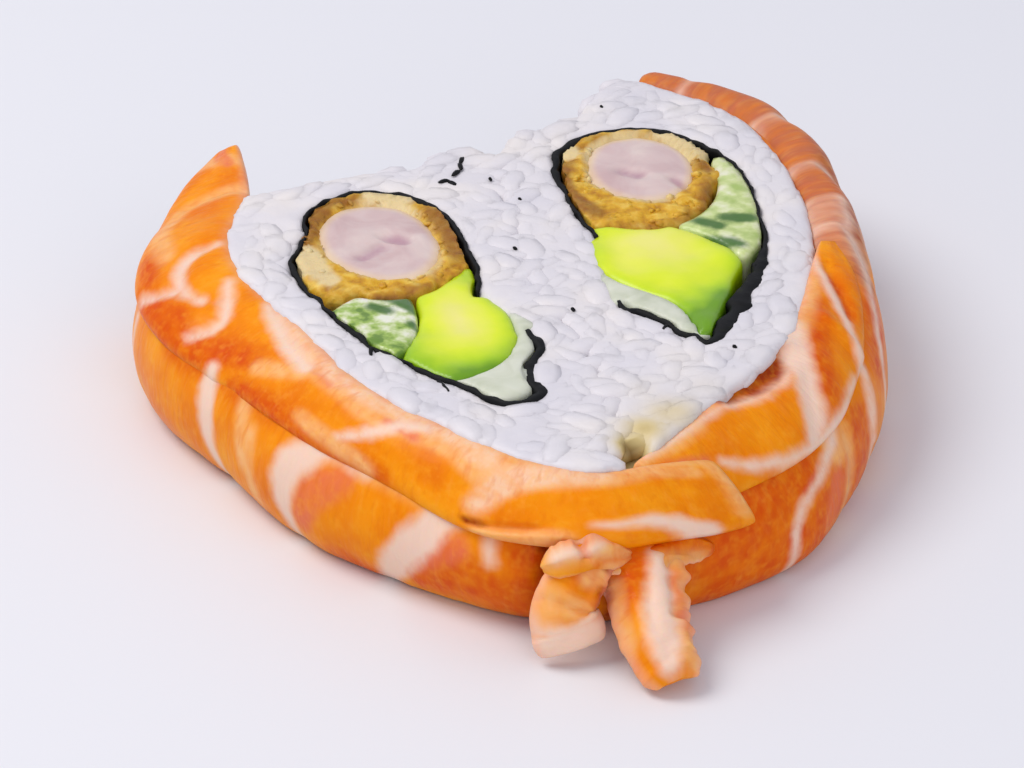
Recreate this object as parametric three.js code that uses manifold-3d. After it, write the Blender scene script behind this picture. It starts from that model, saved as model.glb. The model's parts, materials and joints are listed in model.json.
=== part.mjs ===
import * as THREE from "three";
import { mergeVertices } from "three/addons/utils/BufferGeometryUtils.js";
import Module from "manifold-3d";

// A piece of inside-out sushi: two teardrop slices of a roll, pressed together into a heart and
// wrapped round the outside in salmon. Millimetres, +Z up. It lies on one flat cut face, with the
// heart's tip towards -Y, its cleft towards +Y, and the origin on the floor under its middle.

const cutHeight = 14; // between the two cut faces
const gap = 0.3; // left between pieces that touch
const noriThick = 0.8;
const tipTuck = 3.2; // how much further in the rice's tip is at the floor than at the top
const middle = new THREE.Vector3(0.36, 10.67, 0); // of the outlines below, moved to the origin

const grainSize = { length: 5.4, width: 2.7, height: 2.4, sides: 6, rings: 4 };
const topGrains = { spacing: 3.7, proud: 0.5, fromEdge: 2.1, fromFilling: 1.7, pitch: 0.3, tries: 4000 };
const backGrains = { spacing: 4.1, rows: 4, proud: 1.1, fromCorner: 3, pitch: 1.8 };
const riceInset = 0.5; // kept between the top grains and the rice's sides

// Where the rice meets the salmon on the top face, from the back left round the tip to the back right.
const wrapLine = smoothCurve([
  [-20.8, 34.3], [-23.8, 27], [-23.7, 21], [-20.7, 10.5], [-17.5, 0], [-11.5, -8.5], [-5.5, -14.8],
  [0, -16.6], [5, -14], [12, -8], [19, -1.5], [24, 8], [26.8, 19], [27.2, 30], [24.5, 41], [17.5, 49],
]);
const seamOnWrap = 2.6; // how far right of the tip the two halves part

// The bare rice at the back of each half, from the outside to the cleft, and the seam between them.
const cleft = [1.8, 37.4];
const leftBack = [[-20.8, 34.3], [-17, 35], [-11, 36.2], [-5.4, 36.6], [-1.8, 39], [0.4, 39.2], cleft];
const rightBack = [[17.5, 49], [14.8, 49.2], [12.6, 47], [10.8, 43.9], [8.2, 42.2], [4.8, 41], cleft];
const seam = [cleft, [0.9, 26], [1.4, 12], [3, 0], [3.2, -10]];

// The nori in each half, an open loop round the fillings: [x, y, share of the full thickness].
const leftNori = [
  [-4.2, 12.5, 0.8], [-4, 20, 1], [-4.6, 27, 1], [-7.6, 31.2, 1], [-11.6, 32.4, 1], [-15.6, 30.2, 1],
  [-17.3, 25.5, 0.8], [-18.8, 20, 0.9], [-17.4, 13, 1], [-14.8, 6.4, 1], [-11.6, 1.8, 0.8],
  [-8.6, -1.6, 1], [-5.2, -4.6, 1], [-2.4, -3.4, 1], [-1.8, 0.8, 1], [-0.7, 6, 1],
];
const rightNori = [
  [7.2, 21, 0.5], [6.1, 27, 0.7], [7, 34, 1], [10, 38.2, 1.2], [14.5, 39.2, 1.2], [18.6, 37, 1],
  [21.3, 32.4, 0.9], [22.2, 26, 0.9], [21.2, 18.4, 0.9], [18.6, 12.2, 2], [16.1, 6.4, 1.8],
  [13.2, 1.9, 1.2], [10.2, 4.9, 1], [7.2, 9, 1],
];
const noriJag = 0.35; // share of its thickness that the cut edge wavers by

// A prawn is an oval with a ragged crust; the other fillings are outlines, cut to the room left.
const leftPrawn = { at: [-11.2, 22.6], radii: [6.9, 9.1], turn: 4, crag: 0.9 };
const rightPrawn = { at: [13.1, 30.2], radii: [6.8, 8.8], turn: -6, crag: 0.9 };
const leftAvocado = [
  [-8.6, 15.8], [-4.6, 18], [-2.8, 11], [-2.6, 5.5], [-4.6, 1.4], [-8.4, -0.4], [-11.6, 3], [-9.6, 9.6],
];
const rightAvocado = [
  [6.4, 22], [11.8, 22], [15.2, 20.6], [18.4, 15.8], [17.4, 9.4], [13.6, 2.6], [11.6, 8.6], [7.2, 14],
];
const leftCucumber = [
  [-13.8, 14.6], [-10.4, 14.2], [-10.2, 9.4], [-11.8, 4.6], [-14, 5.2], [-16.4, 11.4],
];
const rightCucumber = [[19.4, 33], [22, 31], [22.2, 24], [21, 16.6], [18.8, 15.4], [15, 21]];

// A slice of salmon is a strip along the wrap. Its section at a place s, in mm along the wrap from
// the tip and negative on the left, has a middle line through top, mid and foot: [out, up] in mm,
// out from the rice's top edge and up from the floor.
const leftUpper = [
  { s: -70, top: [2.6, 13.2], mid: [3.3, 12.7], foot: [4, 12.2], thick: 1.4 },
  { s: -65.5, top: [0.9, 13.3], mid: [3.9, 11.9], foot: [6.6, 10.4], thick: 2.2 },
  { s: -60, top: [-0.7, 13.3], mid: [3.6, 11.2], foot: [7.2, 9.2], thick: 2.6 },
  { s: -50, top: [-0.7, 13.3], mid: [3.6, 11.1], foot: [7.4, 9], thick: 3 },
  { s: -36, top: [-0.7, 13.3], mid: [2.6, 10.9], foot: [5.4, 8.4], thick: 2.8 },
  { s: -22, top: [-0.7, 13.3], mid: [1.6, 10.9], foot: [3.9, 8.2], thick: 2.6 },
  { s: -8, top: [-0.7, 13.3], mid: [1.4, 10.8], foot: [3.4, 8.4], thick: 2.5 },
  { s: 0, top: [-0.7, 13.3], mid: [1.7, 10.7], foot: [4.2, 8.1], thick: 2.5 },
  { s: 9.5, top: [-0.7, 13.2], mid: [3, 10], foot: [6.4, 7.2], thick: 2.6 },
];
const leftLower = [
  { s: -60.5, top: [3.8, 10], mid: [4.6, 5], foot: [4.8, 0.1], thick: 5.8 },
  { s: -50, top: [3.8, 10], mid: [4.8, 5], foot: [5, 0.1], thick: 6.4 },
  { s: -36, top: [3, 9.6], mid: [3.9, 5], foot: [3.8, 0.1], thick: 5.8 },
  { s: -22, top: [1.6, 9.2], mid: [3, 4.8], foot: [1.5, 0.1], thick: 3.9 },
  { s: -13, top: [2, 9], mid: [3.4, 4.4], foot: [1.6, 0.1], thick: 3.8 },
  { s: -8.4, top: [1.5, 8.6], mid: [2.7, 4.3], foot: [0.8, 0.1], thick: 3.2 },
  { s: -3.4, top: [1.2, 8.4], mid: [1.9, 4.2], foot: [0.1, 0.1], thick: 2.9 },
];
const rightUpper = [
  { s: 7, top: [-0.6, 11.4], mid: [2, 9.4], foot: [4.4, 7.2], thick: 2 },
  { s: 16, top: [-0.7, 13.3], mid: [2.4, 10.9], foot: [5.2, 8.6], thick: 2.9 },
  { s: 28, top: [-0.7, 13.3], mid: [2.2, 11.3], foot: [4.6, 9.6], thick: 2.8 },
  { s: 45, top: [-0.6, 13.3], mid: [1.2, 12.8], foot: [2.8, 12.3], thick: 1.6 },
];
const rightLower = [
  { s: -1.4, top: [1.2, 8.4], mid: [1.7, 4.2], foot: [-0.5, 0.1], thick: 3 },
  { s: 1.5, top: [1.3, 8.4], mid: [1.9, 4.2], foot: [-0.2, 0.1], thick: 3 },
  { s: 7, top: [2, 8.4], mid: [3.7, 4.3], foot: [2.8, 0.1], thick: 4.2 },
  { s: 14, top: [2.6, 9.2], mid: [5, 4.6], foot: [6.5, 0.1], thick: 5.6 },
  { s: 18, top: [2.6, 9.6], mid: [5, 4.8], foot: [6.3, 0.1], thick: 5.6 },
  { s: 24, top: [2.6, 10], mid: [4.1, 5], foot: [4, 0.1], thick: 5.2 },
  { s: 36, top: [2.8, 11.6], mid: [3.6, 6], foot: [3.4, 0.1], thick: 4.8 },
  { s: 48, top: [2.2, 13.5], mid: [3, 7], foot: [3, 0.1], thick: 4.2 },
  { s: 62, top: [2.6, 13.6], mid: [3.1, 7], foot: [2.9, 0.1], thick: 4.9 },
  { s: 71, top: [2.8, 13.6], mid: [3, 7], foot: [2.7, 0.1], thick: 5 },
  { s: 80, top: [1.8, 13.4], mid: [1.9, 7], foot: [1.7, 0.1], thick: 3 },
];
const sliceStep = 4; // between a slice's sections

// Two ragged ends of a slice hang out at the tip: their middle lines [x, y, z], and widths along them.
const leftTail = { line: [[-2.2, -17.4, 8], [-3.6, -20, 4.8], [-4.2, -22.2, 1.2]], widths: [4.4, 6, 6.4] };
const rightTail = {
  line: [[2.2, -18, 8.4], [2.6, -21.6, 5], [3, -25.6, 2.6], [3.4, -29.4, 1.2]],
  widths: [5, 6.6, 6, 4],
};
const tailThick = 2;
const tailCamber = 0.25;
const tailSections = 8;

// Between the points of an outline.
const outlineSteps = { wrap: 2.2, back: 2.4, seam: 3, nori: 1.3, filling: 1.6 };
const prawnSides = 36;

// How full a section is along its middle line: [share of the line, share of the thickness].
const sectionProfile = [[0.05, 0.62], [0.22, 0.95], [0.5, 1], [0.8, 0.97], [0.97, 0.8]];

const finishes = {
  rice: { color: "#e6e3e6", roughness: 0.55 },
  nori: { color: "#15181d", roughness: 0.6 },
  salmon: { color: "#ee8a2a", roughness: 0.35 },
  prawn: { color: "#d9a650", roughness: 0.6 },
  avocado: { color: "#cfe03a", roughness: 0.4 },
  cucumber: { color: "#c0d89a", roughness: 0.35 },
  cheese: { color: "#f4f2ec", roughness: 0.5 },
};

// Curves and outlines

function smoothCurve(points) {
  const places = points.map(([x, y, z = 0]) => new THREE.Vector3(x, y, z));
  const curve = new THREE.CatmullRomCurve3(places, false, "centripetal");
  curve.arcLengthDivisions = 400;
  return curve;
}

function evenPoints(curve, step) {
  return curve.getSpacedPoints(Math.max(2, Math.round(curve.getLength() / step)));
}

function closedOutline(points) {
  const curve = smoothCurve(points.map(([x, y]) => [x, y]));
  curve.closed = true;
  return evenPoints(curve, outlineSteps.filling).slice(0, -1);
}

function ovalOutline({ at, radii, turn }, extra, dent = () => 0) {
  const tilt = THREE.MathUtils.degToRad(turn);
  return Array.from({ length: prawnSides }, (_, i) => {
    const angle = (i / prawnSides) * 2 * Math.PI;
    const less = dent();
    const x = (radii[0] + extra - less) * Math.cos(angle);
    const y = (radii[1] + extra - less) * Math.sin(angle);
    const turned = new THREE.Vector3(x, y, 0).applyAxisAngle(new THREE.Vector3(0, 0, 1), tilt);
    return turned.add(new THREE.Vector3(...at, 0));
  });
}

// A band of the given thickness along points [x, y, share], with squared ends.
function bandOutline(points, thick, extra, waver = () => 0) {
  const line = evenPoints(smoothCurve(points), outlineSteps.nori);
  const sides = [[], []];
  line.forEach((point, i) => {
    const before = line[Math.max(i - 1, 0)];
    const after = line[Math.min(i + 1, line.length - 1)];
    const ahead = new THREE.Vector3(after.x - before.x, after.y - before.y, 0).normalize();
    const past = i === 0 ? -extra : i === line.length - 1 ? extra : 0;
    sides.forEach((side, which) => {
      const half = ((thick / 2) * point.z * (1 - waver()) + extra) * (which ? -1 : 1);
      const x = point.x + ahead.y * half + ahead.x * past;
      const y = point.y - ahead.x * half + ahead.y * past;
      side.push(new THREE.Vector3(x, y, 0));
    });
  });
  return [...sides[0], ...sides[1].reverse()];
}

// An outline moved out by a distance all round.
function grown(outline, distance) {
  const side = Math.sign(THREE.ShapeUtils.area(outline)) * distance;
  return outline.map((point, i) => {
    const ahead = outline[(i + 1) % outline.length].clone().sub(outline.at(i - 1)).normalize();
    return new THREE.Vector3(point.x + ahead.y * side, point.y - ahead.x * side, point.z);
  });
}

function isInside(outline, x, y) {
  return outline.reduce((inside, a, i) => {
    const b = outline.at(i - 1);
    const crosses = a.y > y !== b.y > y && x < ((b.x - a.x) * (y - a.y)) / (b.y - a.y) + a.x;
    return crosses ? !inside : inside;
  }, false);
}

function distanceTo(points, x, y) {
  return Math.min(...points.map((point) => Math.hypot(point.x - x, point.y - y)));
}

// Even random numbers from 0 to 1, the same on every run.
function randomFrom(seed) {
  let state = seed;
  return () => {
    state = (state + 0x6d2b79f5) | 0;
    let mixed = Math.imul(state ^ (state >>> 15), 1 | state);
    mixed = (mixed + Math.imul(mixed ^ (mixed >>> 7), 61 | mixed)) ^ mixed;
    return ((mixed ^ (mixed >>> 14)) >>> 0) / 4294967296;
  };
}

// The wrap, measured from the heart's tip

const wrapLength = wrapLine.getLength();
const wrapSamples = 800;
const shares = Array.from({ length: wrapSamples + 1 }, (_, i) => i / wrapSamples);
const tipShare = shares.reduce((a, b) => (wrapLine.getPointAt(b).y < wrapLine.getPointAt(a).y ? b : a));
const wrapEnds = { left: -tipShare * wrapLength, right: (1 - tipShare) * wrapLength };

// The point out from the rice's edge and up from the floor at s along the wrap, and past its ends.
function wrapPoint(s, out = 0, up = 0) {
  const inside = THREE.MathUtils.clamp(s, wrapEnds.left, wrapEnds.right);
  const share = THREE.MathUtils.clamp(tipShare + inside / wrapLength, 0, 1);
  const ahead = wrapLine.getTangentAt(share);
  const aside = new THREE.Vector3(ahead.y * out, -ahead.x * out, up);
  return wrapLine.getPointAt(share).addScaledVector(ahead, s - inside).add(aside);
}

// Solids

const wasm = await Module();
wasm.setup();
const mergeWithin = 1e-4;
const past = 1; // how far a cutting tool reaches past the piece

function solid(points, faces) {
  const build = (triVerts) =>
    new wasm.Manifold(
      new wasm.Mesh({
        numProp: 3,
        vertProperties: Float32Array.from(points.flatMap(({ x, y, z }) => [x, y, z])),
        triVerts: Uint32Array.from(triVerts),
      }),
    );
  const made = build(faces.flat());
  return made.volume() > 0 ? made : build(faces.flatMap(([a, b, c]) => [a, c, b]));
}

function solidOf(geometry) {
  const bare = geometry.clone();
  bare.deleteAttribute("normal");
  bare.deleteAttribute("uv");
  const { attributes, index } = mergeVertices(bare, mergeWithin);
  const points = Array.from({ length: attributes.position.count }, (_, i) =>
    new THREE.Vector3().fromBufferAttribute(attributes.position, i),
  );
  const faces = Array.from({ length: index.count / 3 }, (_, i) => [...index.array.slice(i * 3, i * 3 + 3)]);
  return solid(points, faces);
}

// A solid through rings of points; cap lists the triangles that fill a ring, turning as the ring does.
function loft(rings, cap) {
  const count = rings[0].length;
  const walls = rings.slice(1).flatMap((_, r) =>
    rings[0].flatMap((_, i) => {
      const a = r * count + i;
      const b = r * count + ((i + 1) % count);
      return [[a, b, b + count], [a, b + count, a + count]];
    }),
  );
  const start = cap.map(([a, b, c]) => [a, c, b]);
  const end = cap.map((face) => face.map((i) => i + (rings.length - 1) * count));
  return solid(rings.flat(), [...walls, ...start, ...end]);
}

function capOf(outline) {
  const cap = THREE.ShapeUtils.triangulateShape(outline, []);
  const capArea = cap.reduce((sum, face) => sum + THREE.ShapeUtils.area(face.map((i) => outline[i])), 0);
  const sameTurn = capArea * THREE.ShapeUtils.area(outline) > 0;
  return sameTurn ? cap : cap.map(([a, b, c]) => [a, c, b]);
}

function prism(outline, bottom = 0, top = cutHeight) {
  const rings = [bottom, top].map((z) => outline.map(({ x, y }) => new THREE.Vector3(x, y, z)));
  return loft(rings, capOf(outline));
}

// A tool that cuts right through the piece.
function cutter(outline) {
  return prism(outline, -past, cutHeight + past);
}

// A solid less its neighbours and whatever is under the floor, without the scraps.
function cut(made, ...neighbours) {
  const floor = solidOf(new THREE.BoxGeometry(200, 200, 20).translate(0, 0, -10));
  const left = [floor, ...neighbours].reduce((rest, neighbour) => rest.subtract(neighbour), made);
  return left.decompose().reduce((a, b) => (b.volume() > a.volume() ? b : a));
}

function addMesh(group, name, made, finish) {
  const { vertProperties, triVerts } = made.getMesh();
  const geometry = new THREE.BufferGeometry()
    .setAttribute("position", new THREE.BufferAttribute(vertProperties, 3))
    .setIndex(new THREE.BufferAttribute(triVerts, 1));
  geometry.computeVertexNormals();
  const mesh = new THREE.Mesh(geometry, new THREE.MeshStandardMaterial({ ...finish, metalness: 0 }));
  mesh.name = name;
  group.add(mesh);
}

// Rice: a core that draws in at the tip towards the floor, with grains fused on where it shows

function halfOutline(side, back) {
  const end = side < 0 ? wrapEnds.left : wrapEnds.right;
  const steps = Math.round(Math.abs(end - seamOnWrap) / outlineSteps.wrap);
  const outside = Array.from({ length: steps }, (_, i) =>
    wrapPoint(seamOnWrap + ((end - seamOnWrap) * i) / steps),
  );
  const behind = evenPoints(smoothCurve(back), outlineSteps.back).slice(0, -1);
  const inward = smoothCurve([...seam, outside[0].toArray()]);
  const between = evenPoints(inward, outlineSteps.seam).slice(0, -1);
  const aside = new THREE.Vector3((side * gap) / 2, 0, 0);
  [outside[0], ...between].forEach((point) => point.add(aside));
  return [...outside, ...behind, ...between];
}

function riceCore(outline, extra = 0) {
  const ring = grown(outline, extra);
  const ys = outline.map(({ y }) => y);
  const [tip, back] = [Math.min(...ys), Math.max(...ys)];
  const rings = [-extra, cutHeight + extra].map((z) =>
    ring.map(({ x, y }) => {
      const tuck = (tipTuck * (1 - z / cutHeight) * (back - y)) / (back - tip);
      return new THREE.Vector3(x, y + tuck, z);
    }),
  );
  return loft(rings, capOf(ring));
}

function riceGrain(place, heading, pitch) {
  const { length, width, height, sides, rings } = grainSize;
  const shape = new THREE.SphereGeometry(0.5, sides, rings);
  shape.rotateZ(Math.PI / 2);
  const at = shape.attributes.position;
  for (let i = 0; i < at.count; i++) {
    const blunt = Math.sqrt(1 + (2 * at.getX(i)) ** 2); // fuller ends than an oval's
    at.setXYZ(i, at.getX(i), at.getY(i) * blunt, at.getZ(i) * blunt);
  }
  shape.scale(length, width, height);
  const turn = new THREE.Euler(0, pitch, heading, "ZYX");
  shape.applyMatrix4(new THREE.Matrix4().makeRotationFromEuler(turn).setPosition(place));
  return solidOf(shape);
}

function grainsOnTop(outline, pocket, random) {
  const { spacing, proud, fromEdge, fromFilling, pitch, tries } = topGrains;
  const box = new THREE.Box3().setFromPoints(outline);
  const placed = [];
  for (let i = 0; i < tries; i++) {
    const x = THREE.MathUtils.lerp(box.min.x, box.max.x, random());
    const y = THREE.MathUtils.lerp(box.min.y, box.max.y, random());
    const clear =
      isInside(outline, x, y) &&
      !isInside(pocket, x, y) &&
      distanceTo(outline, x, y) > fromEdge &&
      distanceTo(pocket, x, y) > fromFilling &&
      distanceTo(placed, x, y) > spacing;
    if (clear) placed.push(new THREE.Vector3(x, y, cutHeight + proud - grainSize.height / 2));
  }
  return placed.map((place) => riceGrain(place, random() * Math.PI, (random() - 0.5) * pitch));
}

function grainsBehind(back, random) {
  const { spacing, rows, proud, fromCorner, pitch } = backGrains;
  const curve = smoothCurve(back);
  const room = curve.getLength() - 2 * fromCorner;
  const perRow = Math.floor(room / spacing);
  const grains = [];
  for (let row = 0; row < rows; row++)
    for (let i = 0; i < perRow; i++) {
      const along = fromCorner + ((i + 0.25 + 0.5 * (row % 2)) / perRow) * room;
      const share = along / curve.getLength();
      const ahead = curve.getTangentAt(share);
      const away = new THREE.Vector3(-ahead.y, ahead.x, 0).multiplyScalar(Math.sign(ahead.x));
      const place = curve.getPointAt(share).addScaledVector(away, proud - grainSize.width / 2);
      place.z = ((row + 0.5) * cutHeight) / rows;
      grains.push(riceGrain(place, Math.atan2(ahead.y, ahead.x), (random() - 0.5) * pitch));
    }
  return grains;
}

// Salmon

function between(stations, s) {
  const rows = stations.map(({ top, mid, foot, thick }) => [...top, ...mid, ...foot, thick]);
  const curve = new THREE.CubicInterpolant(stations.map((row) => row.s), rows.flat(), rows[0].length);
  const [topOut, topUp, midOut, midUp, footOut, footUp, thick] = curve.evaluate(s);
  return { top: [topOut, topUp], mid: [midOut, midUp], foot: [footOut, footUp], thick };
}

function sectionRing({ top, mid, foot, thick }, extra) {
  const line = new THREE.SplineCurve([top, mid, foot].map(([x, y]) => new THREE.Vector2(x, y)));
  const beside = (way) =>
    sectionProfile.map(([share, full]) => {
      const ahead = line.getTangent(share);
      const half = way * ((thick / 2) * full + extra);
      return line.getPoint(share).add(new THREE.Vector2(ahead.y * half, -ahead.x * half));
    });
  const first = line.getPoint(0).addScaledVector(line.getTangent(0), -extra);
  const last = line.getPoint(1).addScaledVector(line.getTangent(1), extra);
  return [first, ...beside(1), last, ...beside(-1).reverse()];
}

// The triangles across a section ring, in pairs from its first point to its last.
function sectionCap() {
  const sides = sectionProfile.length;
  const all = 2 * sides + 2;
  const pairs = Array.from({ length: sides - 1 }, (_, i) => i + 1);
  const across = pairs.flatMap((i) => [[i, i + 1, all - i - 1], [i, all - i - 1, all - i]]);
  return [[0, 1, all - 1], ...across, [sides, sides + 1, sides + 2]];
}

function slice(stations, extra = 0) {
  const first = stations[0].s - extra;
  const last = stations.at(-1).s + extra;
  const steps = Math.round((last - first) / sliceStep);
  const rings = Array.from({ length: steps + 1 }, (_, i) => {
    const s = first + ((last - first) * i) / steps;
    return sectionRing(between(stations, s), extra).map(({ x, y }) => wrapPoint(s, x, y));
  });
  return loft(rings, sectionCap());
}

function tail({ line, widths }, extra = 0) {
  const curve = smoothCurve(line);
  const places = widths.map((_, i) => i / (widths.length - 1));
  const widthAt = new THREE.CubicInterpolant(places, widths, 1);
  const rings = Array.from({ length: tailSections + 1 }, (_, i) => {
    const share = i / tailSections;
    const ahead = curve.getTangentAt(share);
    const across = new THREE.Vector3(-ahead.y, ahead.x, 0).normalize();
    const above = across.clone().cross(ahead);
    const half = widthAt.evaluate(share)[0] / 2;
    const section = { top: [-half, 0], mid: [0, tailCamber], foot: [half, 0], thick: tailThick };
    return sectionRing(section, extra).map(({ x, y }) =>
      curve.getPointAt(share).addScaledVector(across, x).addScaledVector(above, y),
    );
  });
  return loft(rings, sectionCap());
}

// The piece

const piece = new THREE.Group();
piece.position.copy(middle).negate();
const outlines = { left: halfOutline(-1, leftBack), right: halfOutline(1, rightBack) };

function addHalf(name, { other, back, nori, prawn, avocado, cucumber, seed }) {
  const half = new THREE.Group();
  const random = randomFrom(seed);
  const add = (what, made, finish) => addMesh(half, `${what}_${name}`, made, finish);

  const loop = closedOutline(nori);
  const band = cutter(bandOutline(nori, noriThick, gap));
  const core = riceCore(outlines[name]);
  const pocket = grown(loop, noriThick / 2 + gap);
  const within = prism(grown(outlines[name], -riceInset), 0, 2 * cutHeight);
  const grains = [
    ...grainsOnTop(outlines[name], pocket, random).map((grain) => grain.intersect(within)),
    ...grainsBehind(back, random),
  ];
  const rice = grains.reduce((whole, grain) => whole.add(grain), core);
  add("rice", cut(rice, cutter(pocket), band, riceCore(outlines[other], gap)), finishes.rice);

  const waver = () => random() * noriJag;
  add("nori", prism(bandOutline(nori, noriThick, 0, waver)), finishes.nori);

  const room = prism(grown(loop, noriThick / 2));
  const crust = cutter(ovalOutline(prawn, gap));
  const crags = ovalOutline(prawn, 0, () => random() * prawn.crag);
  add("prawn", cut(prism(crags), band), finishes.prawn);
  const flesh = closedOutline(avocado);
  add("avocado", cut(prism(flesh).intersect(room), band, crust), finishes.avocado);
  const wedge = closedOutline(cucumber);
  const avocadoCut = cutter(grown(flesh, gap));
  add("cucumber", cut(prism(wedge).intersect(room), band, crust, avocadoCut), finishes.cucumber);
  const cucumberCut = cutter(grown(wedge, gap));
  add("cream_cheese", cut(room, band, crust, avocadoCut, cucumberCut), finishes.cheese);
  piece.add(half);
}

addHalf("left", {
  other: "right", back: leftBack, nori: leftNori, prawn: leftPrawn, avocado: leftAvocado,
  cucumber: leftCucumber, seed: 21,
});
addHalf("right", {
  other: "left", back: rightBack, nori: rightNori, prawn: rightPrawn, avocado: rightAvocado,
  cucumber: rightCucumber, seed: 34,
});

const wrapping = new THREE.Group();
const rice = [riceCore(outlines.left, gap), riceCore(outlines.right, gap)];
const upper = [slice(leftUpper, gap), slice(rightUpper, gap)];
const lower = [slice(leftLower, gap), slice(rightLower, gap)];
addMesh(wrapping, "salmon_left_upper", cut(slice(leftUpper), ...rice), finishes.salmon);
addMesh(wrapping, "salmon_right_upper", cut(slice(rightUpper), ...rice, upper[0]), finishes.salmon);
addMesh(wrapping, "salmon_left_lower", cut(slice(leftLower), ...rice, ...upper), finishes.salmon);
addMesh(wrapping, "salmon_right_lower", cut(slice(rightLower), ...rice, ...upper, lower[0]), finishes.salmon);
const inside = [...rice, ...upper, ...lower];
addMesh(wrapping, "salmon_tail_right", cut(tail(rightTail), ...inside), finishes.salmon);
addMesh(wrapping, "salmon_tail_left", cut(tail(leftTail), ...inside, tail(rightTail, gap)), finishes.salmon);
piece.add(wrapping);

const part = new THREE.Group();
part.add(piece);
export default part;
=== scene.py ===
# A heart-shaped piece of inside-out sushi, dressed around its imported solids.
# Lengths are in millimetres until a mesh is made, and z is up from the surface that it lies on.

import json
import math

import bmesh
import bpy
import numpy as np
from mathutils import Matrix, Vector, noise
from mathutils.geometry import tessellate_polygon

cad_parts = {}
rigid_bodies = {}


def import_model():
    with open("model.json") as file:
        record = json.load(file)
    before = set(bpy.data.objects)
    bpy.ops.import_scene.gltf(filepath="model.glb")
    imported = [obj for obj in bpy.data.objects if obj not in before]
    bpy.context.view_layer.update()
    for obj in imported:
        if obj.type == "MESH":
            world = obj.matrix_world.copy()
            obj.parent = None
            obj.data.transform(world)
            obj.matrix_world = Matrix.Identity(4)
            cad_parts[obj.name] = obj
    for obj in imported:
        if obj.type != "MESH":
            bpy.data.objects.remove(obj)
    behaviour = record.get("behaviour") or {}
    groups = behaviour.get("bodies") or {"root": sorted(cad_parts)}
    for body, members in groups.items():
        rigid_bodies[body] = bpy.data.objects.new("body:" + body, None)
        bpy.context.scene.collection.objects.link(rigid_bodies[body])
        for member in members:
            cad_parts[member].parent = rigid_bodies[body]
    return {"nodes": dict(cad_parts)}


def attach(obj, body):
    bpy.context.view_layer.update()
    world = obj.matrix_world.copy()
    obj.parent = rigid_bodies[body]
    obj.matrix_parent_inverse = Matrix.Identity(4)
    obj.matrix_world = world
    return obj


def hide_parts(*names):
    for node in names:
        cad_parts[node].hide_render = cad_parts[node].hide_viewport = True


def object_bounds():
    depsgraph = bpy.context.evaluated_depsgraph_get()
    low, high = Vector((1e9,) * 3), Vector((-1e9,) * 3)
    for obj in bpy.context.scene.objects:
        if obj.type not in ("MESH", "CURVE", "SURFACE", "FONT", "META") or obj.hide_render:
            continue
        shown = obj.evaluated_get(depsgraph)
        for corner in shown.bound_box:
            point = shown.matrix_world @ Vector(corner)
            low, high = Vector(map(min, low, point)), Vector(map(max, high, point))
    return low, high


mm = 0.001
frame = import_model()
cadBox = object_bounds()
print("frame loaded:", len(frame["nodes"]), "solids")

# the plan that the outlines are drawn in, and the place of the frame's origin in it
planOrigin = np.array([0.36, 10.67])
cutHeight = 14.0
lowest = 0.03  # how near the rice and the salmon come to the surface
farAway = 1e3  # beyond any part of the food


# general helpers

def linear(hexColour, alpha=1.0):
    channels = [int(hexColour[i:i + 2], 16) / 255 for i in (1, 3, 5)]
    return [c / 12.92 if c <= 0.04045 else ((c + 0.055) / 1.055) ** 2.4 for c in channels] + [alpha]


def setInputs(tree, node, inputs):
    # values or links on a node's inputs
    for name, value in inputs.items():
        if isinstance(value, bpy.types.NodeSocket):
            tree.links.new(value, node.inputs[name])
        else:
            node.inputs[name].default_value = value


def addNode(tree, kind, settings=None, inputs=None, stops=None):
    # a node with its settings, its inputs, and the stops of its colour ramp
    node = tree.nodes.new(kind)
    for name, value in (settings or {}).items():
        setattr(node, name, value)
    setInputs(tree, node, inputs or {})
    if stops:
        ramp = node.color_ramp
        while len(ramp.elements) < len(stops):
            ramp.elements.new(0.5)
        for element, (position, colour) in zip(ramp.elements, stops):
            element.position = position
            element.color = linear(colour)
    return node


def newMaterial(name, fixed):
    # a material with one Principled shader, and its fixed values on the shader's own sockets
    material = bpy.data.materials.new(name)
    material.use_nodes = True
    shader = material.node_tree.nodes["Principled BSDF"]
    setInputs(material.node_tree, shader, fixed)
    return material, material.node_tree, shader


def runAlong(line):
    # how far along a line each of its points is
    return np.concatenate([[0], np.cumsum(np.linalg.norm(np.diff(line, axis=0), axis=1))])


def smoothLine(points, step, closed=False):
    # even points on a smooth curve through the given ones
    known = np.array(points, float)
    if closed:
        padded = np.vstack([known[-1], known, known[0], known[1]])
    else:
        padded = np.vstack([2 * known[0] - known[1], known, 2 * known[-1] - known[-2]])
    parts = 32  # from one given point to the next
    dense = []
    for a, b, c, d in zip(padded, padded[1:], padded[2:], padded[3:]):
        gaps = [max(np.linalg.norm(q - p), 1e-6) ** 0.5 for p, q in ((a, b), (b, c), (c, d))]
        t1, t2, t3 = np.cumsum(gaps)
        t = np.linspace(t1, t2, parts, endpoint=False)[:, None]
        ab = (t1 - t) / t1 * a + t / t1 * b
        bc = (t2 - t) / gaps[1] * b + (t - t1) / gaps[1] * c
        cd = (t3 - t) / gaps[2] * c + (t - t2) / gaps[2] * d
        abc = (t2 - t) / t2 * ab + t / t2 * bc
        bcd = (t3 - t) / (t3 - t1) * bc + (t - t1) / (t3 - t1) * cd
        dense.extend((t2 - t) / gaps[1] * abc + (t - t1) / gaps[1] * bcd)
    dense.append(known[0] if closed else known[-1])
    dense = np.array(dense)
    run = runAlong(dense)
    places = np.linspace(0, run[-1], max(2, round(run[-1] / step)) + 1)
    even = np.stack([np.interp(places, run, column) for column in dense.T], 1)
    return even[:-1] if closed else even


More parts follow.
